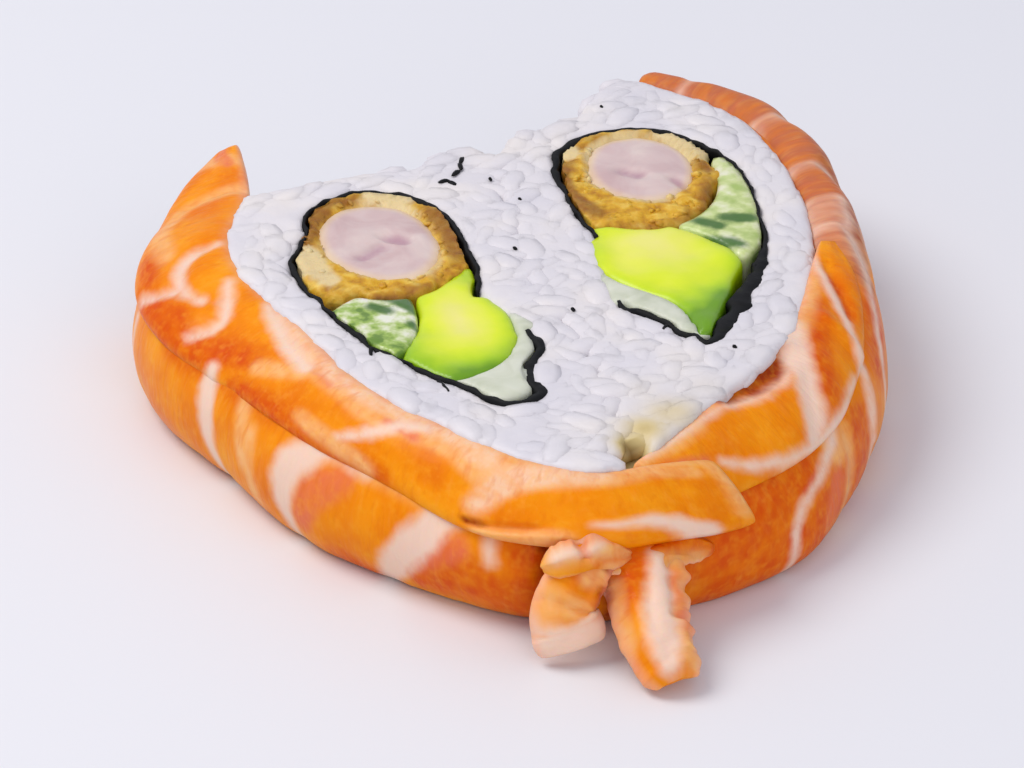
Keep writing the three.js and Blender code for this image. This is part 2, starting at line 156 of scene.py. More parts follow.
def closedLoop(outline):
    return np.vstack([outline, outline[:1]])


def insideOutline(points, outline):
    x, y = points[:, 0][:, None], points[:, 1][:, None]
    a, b = outline, np.roll(outline, 1, axis=0)
    crosses = ((a[:, 1] > y) != (b[:, 1] > y)) & (
        x < (b[:, 0] - a[:, 0]) * (y - a[:, 1]) / (b[:, 1] - a[:, 1] + 1e-12) + a[:, 0])
    return crosses.sum(1) % 2 == 1


def footOn(points, a, b):
    # the nearest place from a to b for each point, the line's width there, and how far away it is
    along = b[:2] - a[:2]
    share = np.clip((points - a[:2]) @ along / max(along @ along, 1e-9), 0, 1)
    foot = a[:2] + share[:, None] * along
    width = a[2] + (b[2] - a[2]) * share if len(a) > 2 else np.zeros(len(points))
    return foot, width, np.linalg.norm(points - foot, axis=1)


def lineDistance(points, lines):
    # least distance from each point to any of the lines [x, y, width], less half the line's width
    least = np.full(len(points), farAway)
    for line in lines:
        line = np.array(line, float)
        for a, b in zip(line, line[1:]):
            _, width, away = footOn(points, a, b)
            least = np.minimum(least, away - width / 2)
    return least


def nearestOn(points, line):
    # the distance to a line of [x, y, width], the nearest place on it and its width there
    least, place, width = np.full(len(points), farAway), points.copy(), np.zeros(len(points))
    for a, b in zip(line, line[1:]):
        foot, wide, away = footOn(points, a, b)
        closer = away < least
        least[closer], place[closer], width[closer] = away[closer], foot[closer], wide[closer]
    return least, place, width


def roughness(points, period, seed, octaves=1):
    # smooth noise from -1 to 1 at each point, with bumps about a period apart
    value = np.zeros(len(points))
    for octave in range(octaves):
        scale = 2 ** octave / period
        offset = Vector((seed * 7.3, seed * 3.1 + octave * 5.7, seed * 1.9))  # each seed and octave its own
        value += [noise.noise(Vector(p) * scale + offset) / 2 ** octave for p in points]
    return value


def makeMesh(name, points, faces):
    mesh = bpy.data.meshes.new(name)
    mesh.from_pydata([Vector(p) * mm for p in points], [], [list(map(int, f)) for f in faces])
    mesh.validate()
    mesh.polygons.foreach_set("use_smooth", [True] * len(mesh.polygons))
    return mesh


def tubeFaces(count, size):
    # the skin of a tube with count rings of size points, and its two ends
    faces = []
    for start in range(0, (count - 1) * size, size):
        for i in range(size):
            j = (i + 1) % size
            faces.append((start + i, start + j, start + size + j, start + size + i))
    last = (count - 1) * size
    return faces + [tuple(range(size))[::-1], tuple(range(last, last + size))]


def pointsOf(mesh):
    flat = np.zeros(len(mesh.vertices) * 3)
    mesh.vertices.foreach_get("co", flat)
    return flat.reshape(-1, 3) / mm


def normalsOf(mesh):
    flat = np.zeros(len(mesh.vertices) * 3)
    mesh.vertices.foreach_get("normal", flat)
    return flat.reshape(-1, 3)


def setPoints(mesh, points):
    mesh.vertices.foreach_set("co", (points * mm).ravel())
    mesh.update()


def storeValues(mesh, name, values):
    values = np.asarray(values, np.float32)
    kind, field = ("FLOAT", "value") if values.ndim == 1 else ("FLOAT_VECTOR", "vector")
    mesh.attributes.new(name, kind, "POINT").data.foreach_set(field, values.ravel())


def turnOutwards(mesh):
    shell = bmesh.new()
    shell.from_mesh(mesh)
    bmesh.ops.recalc_face_normals(shell, faces=shell.faces)
    shell.to_mesh(mesh)
    shell.free()


def shellMesh(name, shell):
    # a finished bmesh as a mesh
    mesh = bpy.data.meshes.new(name)
    shell.to_mesh(mesh)
    shell.free()
    return mesh


def nodeCopy(node):
    # a merged copy of a solid's mesh
    shell = bmesh.new()
    shell.from_mesh(frame["nodes"][node].data)
    mergeWithin = 0.002
    bmesh.ops.remove_doubles(shell, verts=shell.verts, dist=mergeWithin * mm)
    return shellMesh(node + "Copy", shell)


def addObject(name, data):
    thing = bpy.data.objects.new(name, data)
    bpy.context.scene.collection.objects.link(thing)
    return thing


def modified(maker):
    # the mesh that an object's modifiers make of it; the object itself goes
    mesh = bpy.data.meshes.new_from_object(maker.evaluated_get(bpy.context.evaluated_depsgraph_get()))
    bpy.data.objects.remove(maker)
    return mesh


def remeshed(mesh, voxel, smoothing):
    # the same form as an even skin of small faces, with its edges rounded
    maker = addObject("maker", mesh)
    remesh = maker.modifiers.new("even skin", "REMESH")
    remesh.mode, remesh.voxel_size, remesh.use_smooth_shade = "VOXEL", voxel * mm, True
    smooth = maker.modifiers.new("round edges", "SMOOTH")
    smooth.factor, smooth.iterations = 0.5, smoothing
    return modified(maker)


def addPiece(name, mesh, material, slot, *nodes):
    piece = addObject(name, mesh)
    mesh.name = name
    mesh.materials.clear()
    mesh.materials.append(material)
    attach(piece, "root")
    if nodes:
        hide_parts(*nodes)


# camera, surface and light

cameraView = {"place": (-87.5, -436.3, 263.0), "aim": (-2.7, -2.8, 8.0), "lens": 215.0}


def addCamera():
    data = bpy.data.cameras.new("camera")
    data.lens, data.clip_start, data.clip_end = cameraView["lens"], 0.01, 10
    place, aim = Vector(cameraView["place"]) * mm, Vector(cameraView["aim"]) * mm
    camera = addObject("camera", data)
    camera.location = place
    camera.rotation_euler = (aim - place).to_track_quat("-Z", "Y").to_euler()
    bpy.context.scene.camera = camera


table = {"size": 3000.0, "colour": "#E5E7EC", "roughness": 0.5}


def paleLacqueredBoard():
    # pale lacquered board: even, cool white, softly shining
    return newMaterial("paleLacqueredBoard", {
        "Base Color": linear(table["colour"]), "Roughness": table["roughness"]})[0]


def addTable():
    half = table["size"] / 2
    corners = [(-half, -half, 0), (half, -half, 0), (half, half, 0), (-half, half, 0)]
    mesh = makeMesh("table", corners, [(0, 1, 2, 3)])
    mesh.materials.append(paleLacqueredBoard())
    addObject("table", mesh)


sky = {"colour": "#F0F1FF", "strength": 0.6}
lamps = {  # place, size across, colour, watts
    "window": ((-300.0, 90.0, 480.0), 360.0, "#FFFAF4", 1.85),
    "bounce": ((60.0, -460.0, 240.0), 420.0, "#FFF8F2", 0.68),
}


def addLights():
    world = bpy.data.worlds.new("softWhiteRoom")
    bpy.context.scene.world = world
    world.use_nodes = True
    setInputs(world.node_tree, world.node_tree.nodes["Background"], {
        "Color": linear(sky["colour"]), "Strength": sky["strength"]})
    for name, (place, size, colour, power) in lamps.items():
        data = bpy.data.lights.new(name, "AREA")
        data.shape, data.size, data.energy = "DISK", size * mm, power
        data.color = linear(colour)[:3]
        light = addObject(name, data)
        light.location = Vector(place) * mm
        light.rotation_euler = (-Vector(place)).to_track_quat("-Z", "Y").to_euler()
    bpy.context.scene.view_settings.view_transform = "Standard"


addCamera()
addTable()
addLights()
print("camera, table and lights placed")


# materials

def overlaid(tree, base, value, span, shares, hexColour):
    # a colour laid over the base, from one share to the other while the value crosses the span
    share = addNode(tree, "ShaderNodeMapRange", {"interpolation_type": "SMOOTHSTEP"}, {
        "Value": value, "From Min": span[0], "From Max": span[1], "To Min": shares[0], "To Max": shares[1]})
    mixed = addNode(tree, "ShaderNodeMix", {"data_type": "RGBA"}, {
        0: share.outputs["Result"], 6: base, 7: linear(hexColour)})
    return mixed.outputs[2], share.outputs["Result"]


def cookedRice():
    # cooked short-grain rice, steamed and pressed: moist, milky and slightly see-through
    material, tree, shader = newMaterial("cookedRice", {
        "Roughness": 0.5, "IOR": 1.4, "Specular IOR Level": 0.4, "Subsurface Weight": 0.15,
        "Subsurface Scale": 0.0009, "Subsurface Radius": (1.0, 0.95, 0.9),
        "Coat Weight": 0.08, "Coat Roughness": 0.25})
    place = addNode(tree, "ShaderNodeTexCoord")
    cloud = addNode(tree, "ShaderNodeTexNoise", inputs={
        "Vector": place.outputs["Object"], "Scale": 160.0, "Detail": 3.0})  # patches 6 mm across
    milky = addNode(tree, "ShaderNodeValToRGB", inputs={"Fac": cloud.outputs["Fac"]},
                    stops=[(0.32, "#D7D5DC"), (0.52, "#DEDBDF"), (0.7, "#E5E0DE")])
    # the attribute's top values are painted shade in the pit at the tip; lower ones a yellow-brown tint
    tintAndPitShade = addNode(tree, "ShaderNodeAttribute", {"attribute_name": "tintAndPitShade"})
    tint = addNode(tree, "ShaderNodeValToRGB", inputs={"Fac": tintAndPitShade.outputs["Fac"]},
                   stops=[(0.0, "#E0D8CC"), (0.6, "#D2BE84"), (1.0, "#6E5214")])
    weight = addNode(tree, "ShaderNodeMath", {"operation": "MULTIPLY", "use_clamp": True}, {
        0: tintAndPitShade.outputs["Fac"], 1: 1.5})
    tinted = addNode(tree, "ShaderNodeMix", {"data_type": "RGBA"}, {
        0: weight.outputs["Value"], 6: milky.outputs["Color"], 7: tint.outputs["Color"]})
    starch = addNode(tree, "ShaderNodeTexNoise", inputs={
        "Vector": place.outputs["Object"], "Scale": 1100.0, "Detail": 3.0})  # starch film, 0.9 mm
    bump = addNode(tree, "ShaderNodeBump", inputs={
        "Height": starch.outputs["Fac"], "Strength": 0.3, "Distance": 0.0002})
    setInputs(tree, shader, {"Base Color": tinted.outputs[2], "Normal": bump.outputs["Normal"]})
    return material


def rawSalmon():
    # raw farmed salmon, sliced with a wet knife: orange flesh, pale lines of fat, a wet film, with painted
    # shade in gaps, creases and on faces turned from the light, and painted highlights on some fold ridges
    material, tree, shader = newMaterial("rawSalmon", {
        "IOR": 1.36, "Specular IOR Level": 0.1, "Subsurface Weight": 0.22, "Subsurface Scale": 0.0018,
        "Subsurface Radius": (1.0, 0.35, 0.12), "Coat Weight": 0.1, "Coat Roughness": 0.1, "Coat IOR": 1.33})
    strip = addNode(tree, "ShaderNodeAttribute", {"attribute_name": "strip"})
    along = strip.outputs["Vector"]  # mm along the slice and across it
    blotch = addNode(tree, "ShaderNodeTexNoise", inputs={
        "Vector": along, "Scale": 0.2, "Detail": 2.0})  # patches 5 mm across
    colour = addNode(tree, "ShaderNodeValToRGB", inputs={"Fac": blotch.outputs["Fac"]},
                     stops=[(0.3, "#E67808"), (0.5, "#EE8A04"), (0.7, "#F49A12")]).outputs["Color"]
    # muscle fibres, 0.6 mm apart, that lean across the strip
    leaning = addNode(tree, "ShaderNodeMapping", inputs={
        "Vector": along, "Rotation": (0, 0, 0.5), "Scale": (1.6, 0.55, 0.6)})
    fibre = addNode(tree, "ShaderNodeTexNoise", inputs={
        "Vector": leaning.outputs["Vector"], "Scale": 1.0, "Detail": 2.5})
    fray = addNode(tree, "ShaderNodeTexNoise", inputs={"Vector": along, "Scale": 0.8, "Detail": 2.0})
    uneven = addNode(tree, "ShaderNodeMapRange", inputs={
        "Value": fray.outputs["Fac"], "From Min": 0.3, "From Max": 0.7, "To Min": 0.6, "To Max": 1.25})

    def tinted(base, amount, strength, hexColour):
        # the flesh so far, with an uneven tint over it
        broken = addNode(tree, "ShaderNodeMath", {"operation": "MULTIPLY"}, {
            0: amount, 1: uneven.outputs["Result"]})
        weight = addNode(tree, "ShaderNodeMath", {"operation": "MULTIPLY", "use_clamp": True}, {
            0: broken.outputs["Value"], 1: strength})
        return addNode(tree, "ShaderNodeMix", {"data_type": "RGBA"}, {
            0: weight.outputs["Value"], 6: base, 7: linear(hexColour)}).outputs[2]

    # tones over the flesh: the deep orange is redder flesh and also painted shade on faces turned from the
    # light, under overlapping slices and at the tails' roots
    tones = (("flushAndShade", 0.85, "#D65204"), ("pale", 0.8, "#F2B472"), ("rose", 0.75, "#E4744C"),
             # the darkest red-brown tone is painted shade in gaps, slits and under overlaps
             ("backShade", 0.9, "#AC4A0A"), ("cream", 0.9, "#F0C4A0"), ("gapShade", 0.95, "#A03804"))
    # the brown tone is painted shade on a slice's back, turned from the light
    for name, strength, hexColour in tones:
        value = addNode(tree, "ShaderNodeAttribute", {"attribute_name": name})
        colour = tinted(colour, value.outputs["Fac"], strength, hexColour)
    for low, high, strength, hexColour in ((0.56, 0.75, 0.16, "#F8A84C"), (0.46, 0.3, 0.3, "#DC6402")):
        streaks = addNode(tree, "ShaderNodeMapRange", inputs={
            "Value": fibre.outputs["Fac"], "From Min": low, "From Max": high})
        colour = tinted(colour, streaks.outputs["Result"], strength, hexColour)
    dots = addNode(tree, "ShaderNodeTexNoise", inputs={
        "Vector": along, "Scale": 1.5, "Detail": 1.0})  # golden dots of 0.7 mm
    golden = addNode(tree, "ShaderNodeMapRange", inputs={
        "Value": dots.outputs["Fac"], "From Min": 0.5, "From Max": 0.75})
    colour = tinted(colour, golden.outputs["Result"], 0.22, "#F6AE30")
    # fat: the distance to the nearest line of it, frayed by fine noise
    fat = addNode(tree, "ShaderNodeAttribute", {"attribute_name": "fat"})
    frayed = addNode(tree, "ShaderNodeMath", {"operation": "MULTIPLY_ADD"}, {
        0: fray.outputs["Fac"], 1: 0.8, 2: -0.4})
    edge = addNode(tree, "ShaderNodeMath", {"operation": "ADD"}, {
        0: fat.outputs["Fac"], 1: frayed.outputs["Value"]})
    colour, isFat = overlaid(tree, colour, edge.outputs["Value"], (-0.6, 0.75), (0.95, 0.0), "#EED0BC")
    lip = addNode(tree, "ShaderNodeAttribute", {"attribute_name": "lip"})
    colour = tinted(colour, lip.outputs["Fac"], 1.0, "#F2AE90")
    wet = addNode(tree, "ShaderNodeMapRange", inputs={
        "Value": blotch.outputs["Fac"], "To Min": 0.25, "To Max": 0.5})
    relief = addNode(tree, "ShaderNodeMath", {"operation": "MULTIPLY_ADD"}, {
        0: isFat, 1: 0.4, 2: fibre.outputs["Fac"]})
    bump = addNode(tree, "ShaderNodeBump", inputs={
        "Height": relief.outputs["Value"], "Strength": 0.4, "Distance": 0.0003})
    setInputs(tree, shader, {
        "Base Color": colour, "Roughness": wet.outputs["Result"], "Normal": bump.outputs["Normal"]})
    return material


def dampNori():
    # pressed and dried seaweed sheet, damp from the rice: black-green, leathery, faint sheen
    material, tree, shader = newMaterial("dampNori", {"IOR": 1.4, "Specular IOR Level": 0.3})
    place = addNode(tree, "ShaderNodeTexCoord")
    mottle = addNode(tree, "ShaderNodeTexNoise", inputs={
        "Vector": place.outputs["Object"], "Scale": 700.0, "Detail": 4.0})  # 1.4 mm mottle
    colour = addNode(tree, "ShaderNodeValToRGB", inputs={"Fac": mottle.outputs["Fac"]},
                     stops=[(0.35, "#08090B"), (0.6, "#101215"), (0.8, "#1C1F17")])
    gloss = addNode(tree, "ShaderNodeMapRange", inputs={
        "Value": mottle.outputs["Fac"], "To Min": 0.45, "To Max": 0.8})
    bump = addNode(tree, "ShaderNodeBump", inputs={
        "Height": mottle.outputs["Fac"], "Strength": 0.5, "Distance": 0.0002})
    setInputs(tree, shader, {
        "Base Color": colour.outputs["Color"],
        "Roughness": gloss.outputs["Result"], "Normal": bump.outputs["Normal"]})
    return material


def friedPrawnMeat():
    # cooked prawn, cut across: white-pink firm meat with a mauve vein
    material, tree, shader = newMaterial("friedPrawnMeat", {
        "Roughness": 0.4, "IOR": 1.4, "Subsurface Weight": 0.3, "Subsurface Scale": 0.0018,
        "Subsurface Radius": (1.0, 0.75, 0.7)})
    place = addNode(tree, "ShaderNodeTexCoord")
    cloud = addNode(tree, "ShaderNodeTexNoise", inputs={
        "Vector": place.outputs["Object"], "Scale": 260.0, "Detail": 3.0, "Distortion": 0.5})  # 4 mm patches
    colour = addNode(tree, "ShaderNodeValToRGB", inputs={"Fac": cloud.outputs["Fac"]},
                     stops=[(0.3, "#C8ACAC"), (0.5, "#D3BDBB"), (0.7, "#DDCCC6")])
    vein = addNode(tree, "ShaderNodeAttribute", {"attribute_name": "vein"})
    fray = addNode(tree, "ShaderNodeMath", {"operation": "MULTIPLY_ADD"}, {
        0: cloud.outputs["Fac"], 1: 1.6, 2: -0.8})
    edge = addNode(tree, "ShaderNodeMath", {"operation": "ADD"}, {
        0: vein.outputs["Fac"], 1: fray.outputs["Value"]})
    veined, _ = overlaid(
        tree, colour.outputs["Color"], edge.outputs["Value"], (-0.4, 0.7), (0.75, 0.0), "#B4899A")
    rim = addNode(tree, "ShaderNodeAttribute", {"attribute_name": "rim"})
    toasted, _ = overlaid(tree, veined, rim.outputs["Fac"], (0.2, 1.5), (0.7, 0.0), "#EBCFA0")
    bump = addNode(tree, "ShaderNodeBump", inputs={
        "Height": cloud.outputs["Fac"], "Strength": 0.3, "Distance": 0.0003})
    setInputs(tree, shader, {"Base Color": toasted, "Normal": bump.outputs["Normal"]})
    return material


def crumbCrust():
    # dry bread crumbs fried in oil: porous, golden, dark brown outside
    material, tree, shader = newMaterial("friedBreadCrumbs", {
        "Roughness": 0.55, "IOR": 1.46, "Subsurface Weight": 0.12, "Subsurface Scale": 0.001,
        "Subsurface Radius": (1.0, 0.5, 0.2)})
    place = addNode(tree, "ShaderNodeTexCoord")
    crumb = addNode(tree, "ShaderNodeTexNoise", inputs={
        "Vector": place.outputs["Object"], "Scale": 900.0, "Detail": 4.0})  # 1.1 mm crumbs
    golden = addNode(tree, "ShaderNodeValToRGB", inputs={"Fac": crumb.outputs["Fac"]},
                     stops=[(0.3, "#B67C10"), (0.5, "#D6A41E"), (0.72, "#EAC656")])
    rim = addNode(tree, "ShaderNodeAttribute", {"attribute_name": "rim"})
    patch = addNode(tree, "ShaderNodeTexNoise", inputs={
        "Vector": place.outputs["Object"], "Scale": 300.0, "Detail": 2.0})  # 3 mm patches
    uneven = addNode(tree, "ShaderNodeMath", {"operation": "MULTIPLY_ADD"}, {
        0: patch.outputs["Fac"], 1: 2.4, 2: rim.outputs["Fac"]})
    browned, _ = overlaid(
        tree, golden.outputs["Color"], uneven.outputs["Value"], (0.8, 2.1), (0.75, 0.0), "#80480C")
    batter = addNode(tree, "ShaderNodeAttribute", {"attribute_name": "batter"})
    creamy = addNode(tree, "ShaderNodeMath", {"operation": "MULTIPLY_ADD"}, {
        0: patch.outputs["Fac"], 1: 1.2, 2: batter.outputs["Fac"]})
    coat, _ = overlaid(tree, browned, creamy.outputs["Value"], (0.8, 1.35), (0.0, 0.9), "#E0CC9A")
    bump = addNode(tree, "ShaderNodeBump", inputs={
        "Height": crumb.outputs["Fac"], "Strength": 0.7, "Distance": 0.0004})
    setInputs(tree, shader, {"Base Color": coat, "Normal": bump.outputs["Normal"]})
    return material


def ripeAvocado():
    # ripe avocado, sliced: buttery yellow inside, lime towards the skin
    material, tree, shader = newMaterial("ripeAvocado", {
        "Roughness": 0.36, "IOR": 1.46, "Subsurface Weight": 0.25, "Subsurface Scale": 0.0016,
        "Subsurface Radius": (0.9, 1.0, 0.25), "Coat Weight": 0.15, "Coat Roughness": 0.25})
    place = addNode(tree, "ShaderNodeTexCoord")
    shade = addNode(tree, "ShaderNodeAttribute", {"attribute_name": "shade"})
    cloud = addNode(tree, "ShaderNodeTexNoise", inputs={
        "Vector": place.outputs["Object"], "Scale": 320.0, "Detail": 3.0})  # 3 mm patches
    uneven = addNode(tree, "ShaderNodeMath", {"operation": "MULTIPLY_ADD"}, {
        0: cloud.outputs["Fac"], 1: 0.3, 2: shade.outputs["Fac"]})
    colour = addNode(tree, "ShaderNodeValToRGB", inputs={"Fac": uneven.outputs["Value"]}, stops=[
        (0.12, "#EEE888"), (0.32, "#E8EC58"), (0.5, "#DAEA20"),
        (0.68, "#C0DE00"), (0.86, "#98C400"), (1.0, "#6A9C04")])
    bump = addNode(tree, "ShaderNodeBump", inputs={
        "Height": cloud.outputs["Fac"], "Strength": 0.2, "Distance": 0.0003})
    setInputs(tree, shader, {"Base Color": colour.outputs["Color"], "Normal": bump.outputs["Normal"]})
    return material


def freshCucumber():
    # fresh cucumber, cut in a stick: watery pale green flesh, dark green skin
    material, tree, shader = newMaterial("freshCucumber", {
        "Roughness": 0.28, "IOR": 1.37, "Subsurface Weight": 0.35, "Subsurface Scale": 0.0022,
        "Subsurface Radius": (0.8, 1.0, 0.6), "Coat Weight": 0.3, "Coat Roughness": 0.12})
    place = addNode(tree, "ShaderNodeTexCoord")
    cells = addNode(tree, "ShaderNodeTexNoise", inputs={
        "Vector": place.outputs["Object"], "Scale": 520.0, "Detail": 3.0})  # 2 mm cells
    watery = addNode(tree, "ShaderNodeValToRGB", inputs={"Fac": cells.outputs["Fac"]},
                     stops=[(0.3, "#B2CA70"), (0.48, "#D0DC9A"), (0.66, "#E6EAC8")])
    streaky = addNode(tree, "ShaderNodeValToRGB", inputs={"Fac": cells.outputs["Fac"]},
                      stops=[(0.38, "#4F7A14"), (0.46, "#94B648"), (0.54, "#CDD9A8"), (0.62, "#E8EBDC")])
    mottle = addNode(tree, "ShaderNodeAttribute", {"attribute_name": "mottle"})
    flesh = addNode(tree, "ShaderNodeMix", {"data_type": "RGBA"}, {
        0: mottle.outputs["Fac"], 6: watery.outputs["Color"], 7: streaky.outputs["Color"]})
    skin = addNode(tree, "ShaderNodeAttribute", {"attribute_name": "skin"})
    frayed = addNode(tree, "ShaderNodeMath", {"operation": "MULTIPLY_ADD"}, {
        0: cells.outputs["Fac"], 1: 1.2, 2: skin.outputs["Fac"]})
    skinned, _ = overlaid(
        tree, flesh.outputs[2], frayed.outputs["Value"], (0.5, 1.3), (0.92, 0.0), "#2F6410")
    bump = addNode(tree, "ShaderNodeBump", inputs={
        "Height": cells.outputs["Fac"], "Strength": 0.3, "Distance": 0.0002})
    setInputs(tree, shader, {"Base Color": skinned, "Normal": bump.outputs["Normal"]})
    return material


def whiteCreamCheese():
    # spreadable cream cheese: dense, smooth, off-white
    material, tree, shader = newMaterial("creamCheese", {
        "Roughness": 0.45, "IOR": 1.45, "Subsurface Weight": 0.3, "Subsurface Scale": 0.0014,
        "Subsurface Radius": (1.0, 0.92, 0.8)})
    place = addNode(tree, "ShaderNodeTexCoord")
    smear = addNode(tree, "ShaderNodeTexNoise", inputs={
        "Vector": place.outputs["Object"], "Scale": 330.0, "Detail": 2.0, "Distortion": 0.8})  # 3 mm smears
    colour = addNode(tree, "ShaderNodeValToRGB", inputs={"Fac": smear.outputs["Fac"]},
                     stops=[(0.3, "#BFC6AE"), (0.6, "#D5D9C8")])
    bump = addNode(tree, "ShaderNodeBump", inputs={
        "Height": smear.outputs["Fac"], "Strength": 0.3, "Distance": 0.0004})
    setInputs(tree, shader, {"Base Color": colour.outputs["Color"], "Normal": bump.outputs["Normal"]})
    return material


rice = cookedRice()
salmon = rawSalmon()
nori = dampNori()
prawnMeat = friedPrawnMeat()
breadCrumbs = crumbCrust()
avocado = ripeAvocado()
cucumber = freshCucumber()
creamCheese = whiteCreamCheese()
print("materials made")


# the plan: outlines on the top face

# where the rice meets the salmon, from the back left round the tip to the back right
wrapLine = [(-20.8, 34.3), (-23.5, 27), (-23.4, 21), (-20, 10.8), (-16.6, 0.4), (-10.8, -7.9),
            (-5.4, -14.2), (0, -16.6), (5, -14), (11.6, -7.7), (18.2, -0.8), (23.3, 8.1), (26, 19.1),
            (26.5, 29.8), (24.3, 40.8), (17.5, 49)]
cleft = (1.8, 37.4)
seam = [cleft, (0.9, 26), (1.4, 12), (3, 0), (3.2, -10)]
seamOnWrap = 2.6  # how far right of the tip the halves part

# each half: its back edge, the middle line of its nori [x, y, share of the thickness], the oval and
# the vein of its prawn, the palest place of its avocado, and strokes [x, y, width] for its dark avocado,
# its cucumber's skin, and the pale batter and the darker brown parts of its crust, browner crumbs and painted
# shade against the nori
halves = {
    "left": {
        "back": [(-20.8, 34.3), (-17, 35), (-11, 36.2), (-5.4, 36.6), (-1.8, 39), (0.4, 39.2), cleft],
        "nori": [(-4.1, 13.4, 0.7), (-3.5, 17.6, 1), (-3.8, 22, 0.9), (-4, 25.6, 1.1), (-4.9, 28.4, 0.9),
                 (-6.6, 30.8, 1.1), (-8.6, 32, 0.8), (-11.4, 32.4, 1.1), (-13.8, 31.6, 0.8),
                 (-15.6, 30.2, 0.6), (-16.5, 28, 0.9), (-16.6, 26.2, 0.6), (-17.6, 23.8, 0.9),
                 (-18.6, 21.6, 0.7), (-18.6, 19, 0.9), (-18.2, 16.4, 0.7), (-17.4, 14.2, 1),
                 (-16.6, 11.2, 0.7), (-15.2, 8.2, 1), (-14.5, 5.8, 0.9), (-13.2, 4.3, 0.7),
                 (-11.9, 2.4, 0.5), (-10.6, 0.6, 0.9), (-9, -1, 0.9), (-7.6, -2.6, 0.8),
                 (-6.6, -4.2, 0.9), (-5.2, -5.2, 1.1), (-3.4, -5.2, 1.4), (-2.2, -4, 2.1),
                 (-2.5, -1.8, 3), (-2.4, 0, 2.7), (-1.7, 1.6, 1.9), (-0.8, 3.4, 1.8), (-1.2, 5.4, 1.5),
                 (-1.6, 6.8, 0.8)],
        "meat": {
            "at": (-10.7, 23.6), "radii": (5.2, 7.3), "turn": 8,
            "vein": [[(-12.6, 21.2, 0.6), (-10.8, 22.6, 0.9)], [(-10.2, 24.2, 0.5), (-8.6, 23.2, 0.8)]],
        },
        "avocado": {
            "pale": (-6.8, 9.4), "reach": (5.0, 10.5), "dark": [[(-6.6, 0.4, 1.2), (-5.4, 0.2, 0.8)]],
        },
        "skin": [
            [(-12.6, 14.4, 1.2), (-11, 13.2, 1.6), (-9.8, 11.2, 1.4)],
            [(-13.4, 12.2, 0.6), (-12.2, 11.2, 0.8)], [(-10.6, 8.8, 0.5), (-10, 7.6, 0.4)],
        ],
        "mottle": 0.85,
        "batter": [
            [(-17.2, 19.6, 1), (-17.4, 22.6, 1.2), (-16.2, 17.4, 0.6)],
            [(-10, 31.4, 0.3), (-7.4, 30.2, 0.2)],
        ],
        # darker brown strokes along the nori: browner crumbs and painted shade in the crevice against the
        # sheet
        "toastAndShade": [
            [(-17, 25, 0.6), (-16, 28.4, 0.8), (-13.4, 30.6, 0.5)], [(-4.6, 27, 0.4), (-4.4, 21, 0.4)],
        ],
        "seed": 21,
    },
    "right": {
        "back": [(17.5, 49), (14.8, 49.2), (12.6, 47), (10.8, 43.9), (8.2, 42.2), (4.8, 41), cleft],
        "nori": [(7.7, 21, 0.5), (6.9, 24.4, 0.6), (6.5, 29.4, 1), (6.5, 33.8, 1.7), (7.6, 36.8, 1.5),
                 (9.8, 38.7, 1.6), (12.1, 39.3, 1), (15.2, 39.3, 1.2), (18.2, 37.8, 0.8), (20, 35.4, 0.5),
                 (21.5, 33, 0.6), (22.2, 30, 0.5), (22.4, 26.5, 0.6), (22, 22, 0.6), (21.3, 17, 1.1),
                 (20.2, 13.8, 2.6), (19.2, 11.4, 3.8), (17.6, 9.2, 3.4), (16.6, 6.4, 4.2), (15, 4.2, 3.6),
                 (13.8, 2, 2.8), (12.7, 1.2, 1.6), (12.2, 2.6, 0.9), (10.9, 3.4, 1.2), (10.5, 4.9, 0.8),
                 (9.4, 6.4, 0.9), (8.5, 7.6, 1.1), (7.3, 8.2, 0.9), (7.1, 9.4, 0.6)],
        "meat": {
            "at": (13.8, 32.4), "radii": (4.8, 6.3), "turn": -4,
            "vein": [[(12.2, 32.2, 0.5), (13.4, 31.2, 0.8)], [(16.2, 29.8, 0.3), (17, 28.6, 0.4)]],
        },
        "avocado": {
            "pale": (12.2, 18.4), "reach": (9, 10.5), "dark": [[(14.6, 4.2, 1.6), (15.8, 7.6, 1)]],
        },
        "skin": [
            [(16.2, 18.6, 0.8), (18.4, 17.6, 1), (19.2, 16.8, 0.6)], [(19, 21.8, 0.7), (20.8, 21.2, 0.8)],
            [(16.6, 21.6, 0.5), (18, 20.4, 0.6)],
        ],
        "mottle": 0.15,
        "batter": [[(17, 38.2, 0.4), (19, 36.4, 1), (20.2, 34, 1)], [(8.2, 37, 0.4), (8, 35.8, 0.3)]],
        # darker brown strokes along the nori: browner crumbs and painted shade in the crevice against the
        # sheet
        "toastAndShade": [[(6.6, 34, 0), (6.8, 29, 0), (8, 25, 0)]], "seed": 34,
    },
}

outlineStep = 0.8
wrap = smoothLine(wrapLine, 0.25)
wrapRun = runAlong(wrap)
tipRun = wrapRun[wrap[:, 1].argmin()]


def alongWrap(s):
    # points and headings on the wrap line at s from the tip, carried straight on past its ends
    s = np.asarray(s, float) + tipRun
    held = np.clip(s, 0, wrapRun[-1])
    reach = 1.5  # to either side, for the heading
    before, place, after = (
        np.stack([np.interp(np.clip(held + way, 0, wrapRun[-1]), wrapRun, column) for column in wrap.T], -1)
        for way in (-reach, 0, reach))
    ahead = after - before
    ahead /= np.linalg.norm(ahead, axis=-1, keepdims=True)
    return place + ahead * (s - held)[..., None], ahead


def toFrame(x, y, z):
    # plan coordinates to the frame's
    return np.stack([x - planOrigin[0], y - planOrigin[1], z], -1)


# rice: a pressed core, with whole grains where it shows

